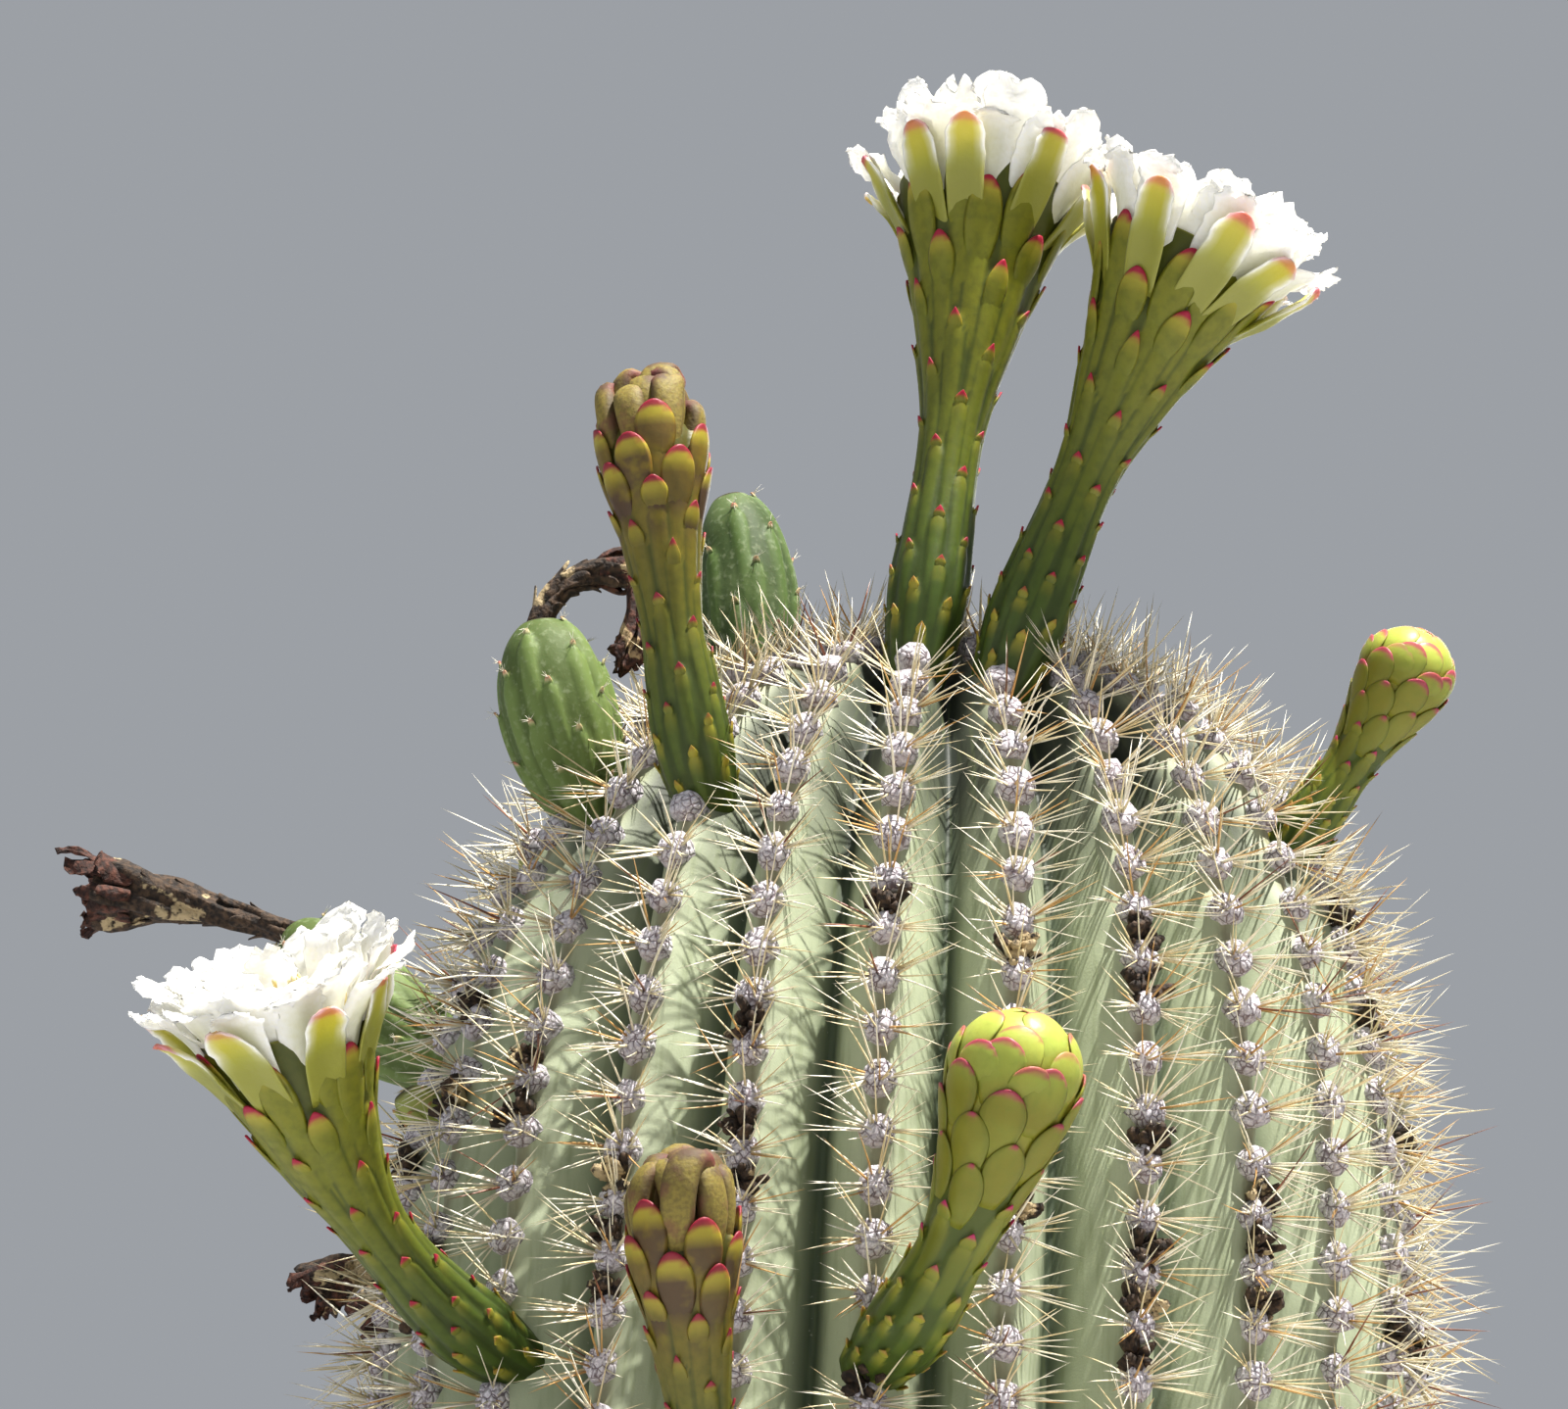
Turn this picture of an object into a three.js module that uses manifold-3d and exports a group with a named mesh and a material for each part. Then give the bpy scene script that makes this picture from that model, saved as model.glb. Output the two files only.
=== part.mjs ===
// The flowering tip of a saguaro stem, cut off flat below its blooms.
//
// Millimetres, +Z up, origin in the middle of the flat cut. The front of the
// stem faces -Y. An azimuth is a turn about the stem from the front towards +X,
// in degrees. Every bloom, bud and fruit grows out of a rib's crest and stands
// a hair's breadth clear of it.

import * as THREE from 'three'
import { mergeVertices } from 'three/addons/utils/BufferGeometryUtils.js'
import Module from 'manifold-3d'

const wasm = await Module()
wasm.setup()

// Driving dimensions of the stem.
const STEM_RADIUS = 107 // rib crest at the shoulder
const FOOT_RADIUS = 110 // rib crest at the cut
const SHOULDER_HEIGHT = 100 // the crown's curve starts here
const STEM_HEIGHT = 265
const CROWN_FULLNESS = 0.622 // power of the cosine: 1 is an ellipse, less is squarer
const CROWN_STEPS = 400 // steps of the outline's table, not of the solid
const HALVINGS = 30 // by which a place between two steps is found
const LEAN = 0.05 // shift towards +X for each unit of height
const RIB_COUNT = 24
const RIB_PITCH = 360 / RIB_COUNT
const FIRST_RIB_AZIMUTH = -2.6
const RIB_DEPTH = 14
const RIB_SHALLOWING = 0.75 // power by which ribs grow shallower towards the tip
const FLANK_SHARE = 0.24 // depth halfway from crest to valley, as a share
const AREOLE_PITCH = 11.6
const FLANK_PITCH = 2 * AREOLE_PITCH // between points of a flank or valley
const AREOLE_RISE = 2.4
const AREOLE_SHARE = 0.6 // of the pitch that an areole's cushion fills
const AREOLE_SLIDE = 3 // how far a rib's row of areoles is slid along it
const SLIDE_STEP = 2.4 // phase between one rib's slide and the next
const LAST_RING_RADIUS = 11 // the ribs end here and the tip closes

// Driving dimensions of what grows on it.
const SEAT_GAP = 0.4 // clear of what carries it
const ROOT_DEPTH = 7 // how far a bloom starts inside the crest, before it is cut
const BLOOM_RADIUS = 29 // petal tips from the flower's axis
const BLOOM_RISE = 15 // petal tips above the rim of the tube
const PETAL_THICKNESS = 1.2
const PETAL_CUP = 1.8 // how far a petal's edges stand in front of its middle
const WELD = 1e-2 // points closer than this are one
const SKIN_WELDS = [1e-3, 3e-3, 1e-2, 3e-2] // the same for a fused skin, tried in turn
const PETAL_TWISTS = [0, 0.04, 0.08, 0.12, 0.16] // radians that the petals turn, tried in turn

// The shape of each kind: the section from its root to its end, as radius in
// mm and the share of the length that it stands at, the sides it is turned
// with, and the lobes that press it in and out as it goes round.
const OPEN_TUBE = {
  sides: 10,
  section: [
    [0, 0], [6.2, 0], [8.6, 0.17], [7.9, 0.29], [6.8, 0.43], [7.3, 0.55],
    [10.7, 0.7], [14.5, 0.85], [18.5, 1], [14, 0.985], [8, 0.93], [0, 0.92],
  ],
}
const CLOSING_HEAD = {
  sides: 14, lobes: 7, lobeDepth: 0.06,
  section: [
    [0, 0], [6.2, 0], [8.3, 0.15], [7.4, 0.3], [6.5, 0.42], [8.2, 0.6],
    [10.8, 0.77], [11.6, 0.88], [10.2, 0.95], [6, 0.99], [0, 0.97],
  ],
}
const BUD = {
  sides: 14, lobes: 7, lobeDepth: 0.03,
  section: [
    [0, 0], [6.4, 0], [8.8, 0.17], [8, 0.32], [7.3, 0.43], [8.8, 0.57],
    [12.6, 0.74], [14, 0.84], [12.4, 0.92], [8, 0.975], [0, 1],
  ],
}
const FRUIT = {
  sides: 16, lobes: 8, lobeDepth: 0.03,
  section: [
    [0, 0], [4.4, 0], [7.6, 0.13], [10.8, 0.3], [12, 0.5], [11.4, 0.7],
    [8.8, 0.87], [4.8, 0.97], [0, 1],
  ],
}
const FRUIT_RADIUS = 12 // the widest ring of its section
const YOUNG_FRUIT = {
  sides: 10,
  section: [[0, 0], [3.6, 0], [5.4, 0.45], [5.4, 0.75], [3.4, 0.96], [0, 1]],
}
const DRIED_TUBE = {
  sides: 10, lobes: 5, lobeDepth: 0.12,
  section: [
    [0, 0], [2.4, 0], [2.7, 0.3], [3.8, 0.55], [6, 0.8], [8, 1], [5, 0.94], [0, 0.86],
  ],
}
const DRIED_STALK = {
  sides: 10, lobes: 5, lobeDepth: 0.1,
  section: [[0, 0], [2.6, 0], [2.5, 0.4], [3, 0.8], [3.2, 0.93], [0, 1]],
}
const DRIED_PETALS = {
  sides: 8, lobes: 4, lobeDepth: 0.15,
  section: [[0, 0], [3.4, 0.1], [4.6, 0.45], [3.2, 0.75], [0, 1]],
}
const DRIED_GIRTH = 0.8 // of the withered flowers that hang on the stem

// The rings of petals of an open flower, outermost first. Root, knee and tip
// of a petal's middle line are given as radius and height above the tube's rim.
const PETAL_RINGS = [
  { count: 7, root: [14, -12], knee: [20, -3], tip: [BLOOM_RADIUS - 4, BLOOM_RISE - 8], width: 8 },
  { count: 8, root: [15, -4], knee: [21, 4], tip: [BLOOM_RADIUS, BLOOM_RISE - 3], width: 15 },
  { count: 5, root: [11, -5], knee: [15, 7], tip: [BLOOM_RADIUS - 8, BLOOM_RISE], width: 14 },
]
const RING_STAGGER = 0.37 // of a petal's spacing, by which each ring is turned on
// Where a petal is measured across, as a share of its length, and how wide it
// is there, as a share of its width.
const PETAL_STATIONS = [[0, 0.6], [0.45, 1], [0.82, 0.85]]

const FINISHES = {
  stem: { colour: 0x93a386, roughness: 0.75 },
  bloom: { colour: 0xe9ead0, roughness: 0.5 },
  closing: { colour: 0xa2963f, roughness: 0.6 },
  bud: { colour: 0x9dae52, roughness: 0.45 },
  fruit: { colour: 0x66803f, roughness: 0.45 },
  dried: { colour: 0x4d3b2c, roughness: 0.9 },
}

// What grows where: the rib, counted from the front towards +X, the height of
// the seat, the point that the bloom bends towards and the point that it ends
// at. An open flower ends at the rim of its tube.
const OPEN_FLOWERS = [
  { rib: 0, height: 253, bend: [18.5, -56, 305], tip: [25, -50, 358] },
  { rib: 1.15, height: 249, bend: [45, -66, 293], tip: [67, -70, 336] },
  { rib: -3, height: 96, bend: [-104, -104, 106], tip: [-117, -130, 148] },
  { rib: -11, height: 212, bend: [-9, 115, 240], tip: [-10, 130, 288] },
  { rib: 10, height: 150, bend: [78, 122, 152], tip: [74, 152, 202] },
]
const CLOSING_FLOWERS = [
  { rib: -2, height: 218, bend: [-41, -85, 241], tip: [-45.5, -85, 307] },
  { rib: -1, height: 38, bend: [-37, -145, 82], tip: [-38, -145, 118] },
  { rib: -9, height: 195, bend: [-62, 112, 208], tip: [-56, 128, 257] },
]
const BUDS = [
  { rib: 0, height: 85, bend: [20, -140, 92], tip: [32, -150, 145], girth: 1 },
  { rib: 5, height: 221, bend: [105, -32, 243], tip: [118, -35, 267], girth: 0.74 },
  { rib: 11, height: 228, bend: [42, 98, 240], tip: [48, 108, 272], girth: 0.82 },
  { rib: -11, height: 120, bend: [-22, 136, 126], tip: [-24, 148, 168], girth: 0.9 },
]
const FRUITS = [
  { rib: -4, height: 226, bend: [-65, -44, 245], tip: [-68, -45, 266], girth: 1 },
  { rib: -7, height: 261, bend: [-22, 12, 290], tip: [-29, 13, 316], girth: 0.9 },
  { rib: -6, height: 184, bend: [-108, 8, 196], tip: [-120, 15, 219], girth: 0.95 },
  { rib: -10, height: 234, bend: [-36, 90, 250], tip: [-40, 96, 272], girth: 0.95 },
  { rib: 9, height: 216, bend: [84, 76, 226], tip: [84, 84, 250], girth: 0.95 },
]
const YOUNG_FRUITS = [
  { rib: -6, height: 223, bend: [-68, 4, 228.5], tip: [-67, 5, 235], girth: 1 },
  { rib: -5, height: 164, bend: [-93, -24, 165], tip: [-96, -25, 169], girth: 0.8 },
]

// Withered flowers that still hang on the stem, and those left on a fruit's
// end, which start at that fruit's tip.
const DRIED_ON_STEM = [
  { rib: -6, height: 139, bend: [-106, 5, 143], tip: [-115, 5, 134] },
  { rib: -8, height: 156, bend: [-90, 64, 160], tip: [-104, 74, 152] },
]
const DRIED_ON_FRUIT = { fruit: 2, bend: [-141, 18, 226], tip: [-164, 20, 229] }
const DRIED_AND_BENT = {
  fruit: 0, bend: [-67, -45, 279], tip: [-46, -42, 277],
  hangsFrom: [-48, -42, 279], hangsPast: [-45.5, -42, 266.5], hangsTo: [-50, -42, 256],
}
const FRUIT_END_DEPTH = 3 // how far a withered flower starts inside a fruit's tip

const radians = THREE.MathUtils.degToRad
const point = ([x, y, z]) => new THREE.Vector3(x, y, z)

// The crest's outline from the cut to the tip: radius, height and arc length.
// Straight to the shoulder, then a quarter of an oval.
function stemOutline() {
  const outline = [{ r: FOOT_RADIUS, z: 0 }]
  for (let step = 0; step <= CROWN_STEPS; step++) {
    const angle = (Math.PI / 2) * (step / CROWN_STEPS)
    outline.push({
      r: STEM_RADIUS * Math.cos(angle) ** CROWN_FULLNESS,
      z: SHOULDER_HEIGHT + (STEM_HEIGHT - SHOULDER_HEIGHT) * Math.sin(angle),
    })
  }
  outline[0].along = 0
  for (let i = 1; i < outline.length; i++) {
    const [last, next] = [outline[i - 1], outline[i]]
    next.along = last.along + Math.hypot(next.r - last.r, next.z - last.z)
  }
  return outline
}

const OUTLINE = stemOutline()

// The point of the outline where a quantity reaches a value, with the outward
// normal there. The normal is level on the straight part, so the cut stays flat.
function outlineWhere(isPast) {
  let i = 1
  while (i < OUTLINE.length - 1 && !isPast(OUTLINE[i])) i++
  const [low, high] = [OUTLINE[i - 1], OUTLINE[i]]
  const mix = (share) => ({
    r: low.r + (high.r - low.r) * share,
    z: low.z + (high.z - low.z) * share,
    along: low.along + (high.along - low.along) * share,
  })
  let [from, to] = [0, 1]
  for (let halving = 0; halving < HALVINGS; halving++) {
    const middle = (from + to) / 2
    if (isPast(mix(middle))) to = middle
    else from = middle
  }
  const step = high.along - low.along
  const straight = i === 1
  return {
    ...mix(to),
    out: straight ? 1 : (high.z - low.z) / step,
    up: straight ? 0 : (low.r - high.r) / step,
  }
}

// A point of the stem at an azimuth, sunk below the crest's outline.
function stemPoint(azimuth, place, sunk) {
  const radius = place.r - sunk * place.out
  const height = place.z - sunk * place.up
  const turn = radians(azimuth)
  return new THREE.Vector3(
    LEAN * height + radius * Math.sin(turn), -radius * Math.cos(turn), height,
  )
}

// Joins two upright columns of points with triangles, taking next whichever
// column's next point lies lower.
function zipColumns(left, right, faces) {
  let [i, j] = [0, 0]
  while (i < left.length - 1 || j < right.length - 1) {
    const leftNext = i < left.length - 1 ? left[i + 1].along : Infinity
    const rightNext = j < right.length - 1 ? right[j + 1].along : Infinity
    if (leftNext < rightNext) {
      faces.push(left[i].index, right[j].index, left[i + 1].index)
      i++
    } else {
      faces.push(left[i].index, right[j].index, right[j + 1].index)
      j++
    }
  }
}

// The ribbed stem. Each rib is four columns: its crest, two flanks and a
// valley. The crest rises to a flat cushion at every areole. Grown by a
// distance, the same shape cuts the blooms' seats.
function stemGeometry(grown = 0) {
  const end = outlineWhere((p) => p.r <= LAST_RING_RADIUS)
  const points = []
  const faces = []
  const add = (azimuth, along, sunk) => {
    const place = outlineWhere((p) => p.along >= along)
    const index = points.push(stemPoint(azimuth, place, sunk - grown)) - 1
    return { along, index }
  }
  const depthAt = (along) => {
    const { r } = outlineWhere((p) => p.along >= along)
    return RIB_DEPTH * (r / STEM_RADIUS) ** RIB_SHALLOWING
  }
  const plainColumn = (azimuth, share) => {
    const column = []
    for (let along = 0; along < end.along - FLANK_PITCH / 2; along += FLANK_PITCH) {
      column.push(add(azimuth, along, depthAt(along) * share))
    }
    column.push(add(azimuth, end.along, depthAt(end.along) * share))
    return column
  }
  const crestColumn = (azimuth, rib) => {
    const slide = AREOLE_SLIDE * Math.sin(SLIDE_STEP * rib)
    const column = [add(azimuth, 0, 0)]
    const half = AREOLE_PITCH / 2
    const reach = half * AREOLE_SHARE
    for (let along = half + slide; along < end.along - half; along += AREOLE_PITCH) {
      column.push(
        add(azimuth, along - reach, -AREOLE_RISE),
        add(azimuth, along + reach, -AREOLE_RISE),
        add(azimuth, along + half, 0),
      )
    }
    column[column.length - 1] = add(azimuth, end.along, 0)
    return column
  }
  const columns = []
  for (let rib = 0; rib < RIB_COUNT; rib++) {
    const azimuth = FIRST_RIB_AZIMUTH + rib * RIB_PITCH
    columns.push(
      crestColumn(azimuth, rib),
      plainColumn(azimuth + RIB_PITCH / 4, FLANK_SHARE),
      plainColumn(azimuth + RIB_PITCH / 2, 1),
      plainColumn(azimuth + (RIB_PITCH * 3) / 4, FLANK_SHARE),
    )
  }
  const foot = points.push(new THREE.Vector3(0, 0, 0)) - 1
  const tip = points.push(new THREE.Vector3(LEAN * STEM_HEIGHT, 0, STEM_HEIGHT + grown)) - 1
  columns.forEach((left, i) => {
    const right = columns[(i + 1) % columns.length]
    zipColumns(left, right, faces)
    faces.push(foot, right[0].index, left[0].index)
    faces.push(left.at(-1).index, right.at(-1).index, tip)
  })
  const geometry = new THREE.BufferGeometry().setFromPoints(points)
  geometry.setIndex(faces)
  return geometry
}

// A closed solid from a geometry: equal points are merged, triangles that have
// shrunk to a line are dropped, and the faces are turned outwards.
function solidFrom(geometry) {
  const plain = new THREE.BufferGeometry()
  plain.setAttribute('position', geometry.getAttribute('position'))
  plain.setIndex(geometry.getIndex())
  const merged = mergeVertices(plain, WELD)
  const at = merged.getAttribute('position')
  const index = Array.from(merged.getIndex().array)
  const corner = (i) => new THREE.Vector3().fromBufferAttribute(at, i)
  const triangles = []
  let volume = 0
  for (let i = 0; i < index.length; i += 3) {
    const [a, b, c] = index.slice(i, i + 3)
    if (a === b || b === c || c === a) continue
    triangles.push([a, b, c])
    volume += corner(a).dot(corner(b).cross(corner(c)))
  }
  const turned = volume < 0 ? triangles.map(([a, b, c]) => [a, c, b]) : triangles
  return new wasm.Manifold(new wasm.Mesh({
    numProp: 3,
    vertProperties: Float32Array.from(at.array),
    triVerts: Uint32Array.from(turned.flat()),
  }))
}

// The curve that a bloom follows, with a frame that doesn't twist: the side
// direction is square to the plane that the curve bends in.
function growthCurve(start, bend, tip) {
  const curve = new THREE.QuadraticBezierCurve3(start, bend, tip)
  const length = curve.getLength()
  const side = bend.clone().sub(start).cross(tip.clone().sub(start)).normalize()
  const place = (radius, distance, turn) => {
    const share = Math.min(Math.max(distance / length, 0), 1)
    const forward = curve.getTangentAt(share)
    const across = side.clone().cross(forward)
    return curve.getPointAt(share)
      .addScaledVector(forward, distance - share * length)
      .addScaledVector(side, radius * Math.cos(turn))
      .addScaledVector(across, radius * Math.sin(turn))
  }
  return { length, place }
}

// A solid of revolution carried along a growth curve. Lobes press the section
// in and out as it goes round, each ring half a lobe further than the last.
function bentLathe(growth, { section, sides, lobes = 0, lobeDepth = 0 }, girth = 1) {
  const profile = section.map(([r, share]) => new THREE.Vector2(r * girth, share))
  const lathe = new THREE.LatheGeometry(profile, sides)
  const at = lathe.getAttribute('position')
  const ringOf = (share) => section.findIndex(([, s]) => Math.abs(s - share) < 1e-6)
  for (let i = 0; i < at.count; i++) {
    const radius = Math.hypot(at.getX(i), at.getZ(i))
    const turn = Math.atan2(at.getX(i), at.getZ(i))
    const share = at.getY(i)
    const swell = 1 + lobeDepth * Math.cos(lobes * turn + Math.PI * ringOf(share))
    const placed = growth.place(radius * swell, share * growth.length, turn)
    at.setXYZ(i, placed.x, placed.y, placed.z)
  }
  return solidFrom(lathe)
}

// One petal: a thin cupped blade. Its middle line runs from root to tip over a
// knee, each given as a radius and a height above the rim of the tube.
function petal(growth, turn, { root, knee, tip, width }, grown = 0) {
  const line = new THREE.QuadraticBezierCurve(...[root, knee, tip].map((p) => new THREE.Vector2(...p)))
  const half = PETAL_THICKNESS / 2 + grown
  const points = []
  const put = (at, aside, lift, normal) => {
    const radius = at.x + lift * normal.x
    const height = at.y + lift * normal.y
    points.push(growth.place(
      Math.hypot(radius, aside), growth.length + height, turn + Math.atan2(aside, radius),
    ))
  }
  for (const [share, breadth] of PETAL_STATIONS) {
    const at = line.getPoint(share)
    const along = line.getTangent(share)
    const inward = new THREE.Vector2(-along.y, along.x)
    const aside = (width / 2) * breadth + grown
    put(at, -aside, PETAL_CUP, inward)
    put(at, 0, half, inward)
    put(at, aside, PETAL_CUP, inward)
    put(at, 0, -half, inward)
  }
  put(line.getPoint(1), 0, 0, new THREE.Vector2(0, 0))
  const faces = [0, 1, 2, 0, 2, 3]
  const last = (PETAL_STATIONS.length - 1) * 4
  for (let ring = 0; ring < last; ring += 4) {
    for (let k = 0; k < 4; k++) {
      const next = (k + 1) % 4
      faces.push(ring + k, ring + 4 + k, ring + next)
      faces.push(ring + next, ring + 4 + k, ring + 4 + next)
    }
  }
  for (let k = 0; k < 4; k++) faces.push(last + k, last + 4, last + ((k + 1) % 4))
  const geometry = new THREE.BufferGeometry().setFromPoints(points)
  geometry.setIndex(faces)
  return solidFrom(geometry)
}

const carrier = solidFrom(stemGeometry())
const seatCutter = solidFrom(stemGeometry(SEAT_GAP))

// The growth curve of what is seated on a rib, started inside the crest.
function growthOnStem({ rib, height, bend, tip }) {
  const azimuth = FIRST_RIB_AZIMUTH + rib * RIB_PITCH
  const seat = outlineWhere((p) => p.z >= height)
  return growthCurve(stemPoint(azimuth, seat, ROOT_DEPTH), point(bend), point(tip))
}

const model = new THREE.Group()

// The triangles that share each edge of a list of triangles.
function edgesOf(triangles) {
  const sharing = new Map()
  triangles.forEach((corners, i) => {
    corners.forEach((a, k) => {
      const b = corners[(k + 1) % 3]
      const edge = `${Math.min(a, b)},${Math.max(a, b)}`
      sharing.set(edge, [...(sharing.get(edge) ?? []), i])
    })
  })
  return [...sharing.values()]
}

// Sorts triangles into skins: two that alone share an edge belong together. An
// edge that more of them share is where two skins touch.
function skinsOf(triangles) {
  const parent = triangles.map((_, i) => i)
  const rootOf = (i) => {
    while (parent[i] !== i) i = parent[i] = parent[parent[i]]
    return i
  }
  for (const around of edgesOf(triangles)) {
    if (around.length === 2) parent[rootOf(around[0])] = rootOf(around[1])
  }
  const skins = new Map()
  triangles.forEach((corners, i) => {
    const root = rootOf(i)
    skins.set(root, [...(skins.get(root) ?? []), corners])
  })
  return [...skins.values()]
}

// The outer skin of a fused solid. Points closer than the weld are made one and
// triangles that shrink away are dropped, then the skin that holds the most is
// kept, so that hollows sealed by the fusing are filled and loose scraps go.
function outerSkinWeldedAt(solid, weld) {
  const { vertProperties, triVerts } = solid.getMesh()
  const fused = new THREE.BufferGeometry()
  fused.setAttribute('position', new THREE.BufferAttribute(vertProperties, 3))
  fused.setIndex(new THREE.BufferAttribute(triVerts, 1))
  const geometry = mergeVertices(fused, weld)
  const at = geometry.getAttribute('position')
  const corner = (i) => new THREE.Vector3().fromBufferAttribute(at, i)
  const held = ([a, b, c]) => corner(a).dot(corner(b).cross(corner(c)))
  const volume = (skin) => skin.reduce((sum, corners) => sum + held(corners), 0)
  const index = Array.from(geometry.getIndex().array)
  const triangles = []
  for (let i = 0; i < index.length; i += 3) {
    const [a, b, c] = index.slice(i, i + 3)
    if (a !== b && b !== c && c !== a) triangles.push([a, b, c])
  }
  const skins = skinsOf(triangles).sort((one, other) => volume(other) - volume(one))
  geometry.setIndex(skins[0].flat())
  return { geometry, isClosed: edgesOf(skins[0]).every((around) => around.length === 2) }
}

// The first skin in which every edge is shared by two triangles, or nothing.
function outerSkin(solid) {
  for (const weld of SKIN_WELDS) {
    const { geometry, isClosed } = outerSkinWeldedAt(solid, weld)
    if (isClosed) return geometry
  }
  return undefined
}

// An open flower: its tube and its rings of petals. A petal that would touch a
// neighbouring flower is left out. The petals turn a little until the flower
// cut from its seat has one closed skin.
function turnedFlower(growth, neighbours, twist) {
  let flower = bentLathe(growth, OPEN_TUBE)
  PETAL_RINGS.forEach((ring, row) => {
    for (let i = 0; i < ring.count; i++) {
      const turn = twist + (2 * Math.PI * (i + RING_STAGGER * row)) / ring.count
      const room = petal(growth, turn, ring, SEAT_GAP)
      const isFree = neighbours.every((other) => room.intersect(other).isEmpty())
      if (isFree) flower = flower.add(petal(growth, turn, ring))
    }
  })
  return flower
}

function openFlower(growth, neighbours) {
  const twist = PETAL_TWISTS.find((angle) => {
    return outerSkin(turnedFlower(growth, neighbours, angle).subtract(seatCutter))
  })
  return turnedFlower(growth, neighbours, twist)
}

function addMesh(name, solid, { colour, roughness }) {
  const geometry = outerSkin(solid)
  geometry.computeVertexNormals()
  const material = new THREE.MeshStandardMaterial({ color: colour, roughness, metalness: 0 })
  const mesh = new THREE.Mesh(geometry, material)
  mesh.name = name
  model.add(mesh)
}

function addRow(kind, places, finish, make) {
  places.forEach((place, i) => {
    const solid = make(growthOnStem(place), place).subtract(seatCutter)
    addMesh(`${kind}_${i + 1}`, solid, finish)
  })
}

addMesh('stem', carrier, FINISHES.stem)

const opened = []
addRow('open_flower', OPEN_FLOWERS, FINISHES.bloom, (growth) => {
  const flower = openFlower(growth, opened)
  opened.push(flower)
  return flower
})
addRow('closing_flower', CLOSING_FLOWERS, FINISHES.closing,
  (growth) => bentLathe(growth, CLOSING_HEAD))
addRow('bud', BUDS, FINISHES.bud, (growth, { girth }) => bentLathe(growth, BUD, girth))
addRow('fruit', FRUITS, FINISHES.fruit, (growth, { girth }) => bentLathe(growth, FRUIT, girth))
addRow('young_fruit', YOUNG_FRUITS, FINISHES.fruit,
  (growth, { girth }) => bentLathe(growth, YOUNG_FRUIT, girth))
addRow('dried_flower', DRIED_ON_STEM, FINISHES.dried,
  (growth) => bentLathe(growth, DRIED_TUBE, DRIED_GIRTH))

// A withered flower on a fruit's end starts a little inside that end and is
// cut clear of it by the same fruit, grown by the gap.
function cutFromFruit(solid, place) {
  const growth = growthOnStem(place)
  const longer = { ...growth, length: growth.length + SEAT_GAP }
  const girth = place.girth * (1 + SEAT_GAP / FRUIT_RADIUS)
  return solid.subtract(bentLathe(longer, FRUIT, girth))
}

function growthFromFruit({ fruit, bend, tip }) {
  const { bend: below, tip: end } = FRUITS[fruit]
  const outward = point(end).sub(point(below)).normalize()
  const start = point(end).addScaledVector(outward, -FRUIT_END_DEPTH)
  return growthCurve(start, point(bend), point(tip))
}

const onFruit = bentLathe(growthFromFruit(DRIED_ON_FRUIT), DRIED_TUBE)
addMesh('dried_flower_3', cutFromFruit(onFruit, FRUITS[DRIED_ON_FRUIT.fruit]), FINISHES.dried)

const { hangsFrom, hangsPast, hangsTo } = DRIED_AND_BENT
const bentStalk = bentLathe(growthFromFruit(DRIED_AND_BENT), DRIED_STALK)
const hanging = growthCurve(point(hangsFrom), point(hangsPast), point(hangsTo))
const bentFlower = bentStalk.add(bentLathe(hanging, DRIED_PETALS))
addMesh('dried_flower_4', cutFromFruit(bentFlower, FRUITS[DRIED_AND_BENT.fruit]), FINISHES.dried)

export default model
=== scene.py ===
# %% [markdown]
# # The flowering tip of a saguaro stem
#
# A saguaro's stem ends in a dome of ribs. Each rib carries a row of felt cushions, the areoles, and every
# spine, flower and fruit grows out of one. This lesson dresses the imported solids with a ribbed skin, the
# felt, the spines and each bloom. The solids' outline and growth lines are worked out again here, so
# nothing is fitted by eye.

import bpy
import numpy as np
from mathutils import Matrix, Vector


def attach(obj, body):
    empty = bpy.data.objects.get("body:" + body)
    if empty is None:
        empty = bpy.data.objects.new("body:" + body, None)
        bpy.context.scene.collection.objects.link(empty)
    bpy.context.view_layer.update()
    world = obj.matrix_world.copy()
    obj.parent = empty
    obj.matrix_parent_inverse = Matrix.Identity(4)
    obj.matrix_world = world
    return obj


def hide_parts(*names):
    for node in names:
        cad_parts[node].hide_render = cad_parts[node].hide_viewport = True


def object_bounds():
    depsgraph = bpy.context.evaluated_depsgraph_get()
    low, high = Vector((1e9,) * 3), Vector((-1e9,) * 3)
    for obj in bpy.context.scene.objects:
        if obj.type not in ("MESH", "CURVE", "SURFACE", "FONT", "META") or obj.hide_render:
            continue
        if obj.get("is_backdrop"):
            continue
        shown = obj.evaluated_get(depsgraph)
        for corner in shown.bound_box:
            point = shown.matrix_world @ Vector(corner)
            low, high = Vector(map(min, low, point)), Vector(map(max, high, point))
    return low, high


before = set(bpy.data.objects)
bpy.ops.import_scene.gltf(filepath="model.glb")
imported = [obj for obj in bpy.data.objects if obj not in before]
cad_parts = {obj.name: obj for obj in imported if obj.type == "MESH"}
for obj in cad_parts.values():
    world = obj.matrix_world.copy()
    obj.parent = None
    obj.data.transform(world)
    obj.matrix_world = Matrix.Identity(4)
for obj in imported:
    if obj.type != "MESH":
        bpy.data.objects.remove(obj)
cad_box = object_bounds()
print("nodes:", len(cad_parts), "box:", [[round(v, 3) for v in corner] for corner in cad_box])

# %% [markdown]
# ## The numbers the solids were built from
#
# Lengths are in millimetres until a mesh is made, and turns in degrees. An azimuth is a turn round the
# stem from its front, which faces -Y, towards +X.

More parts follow.
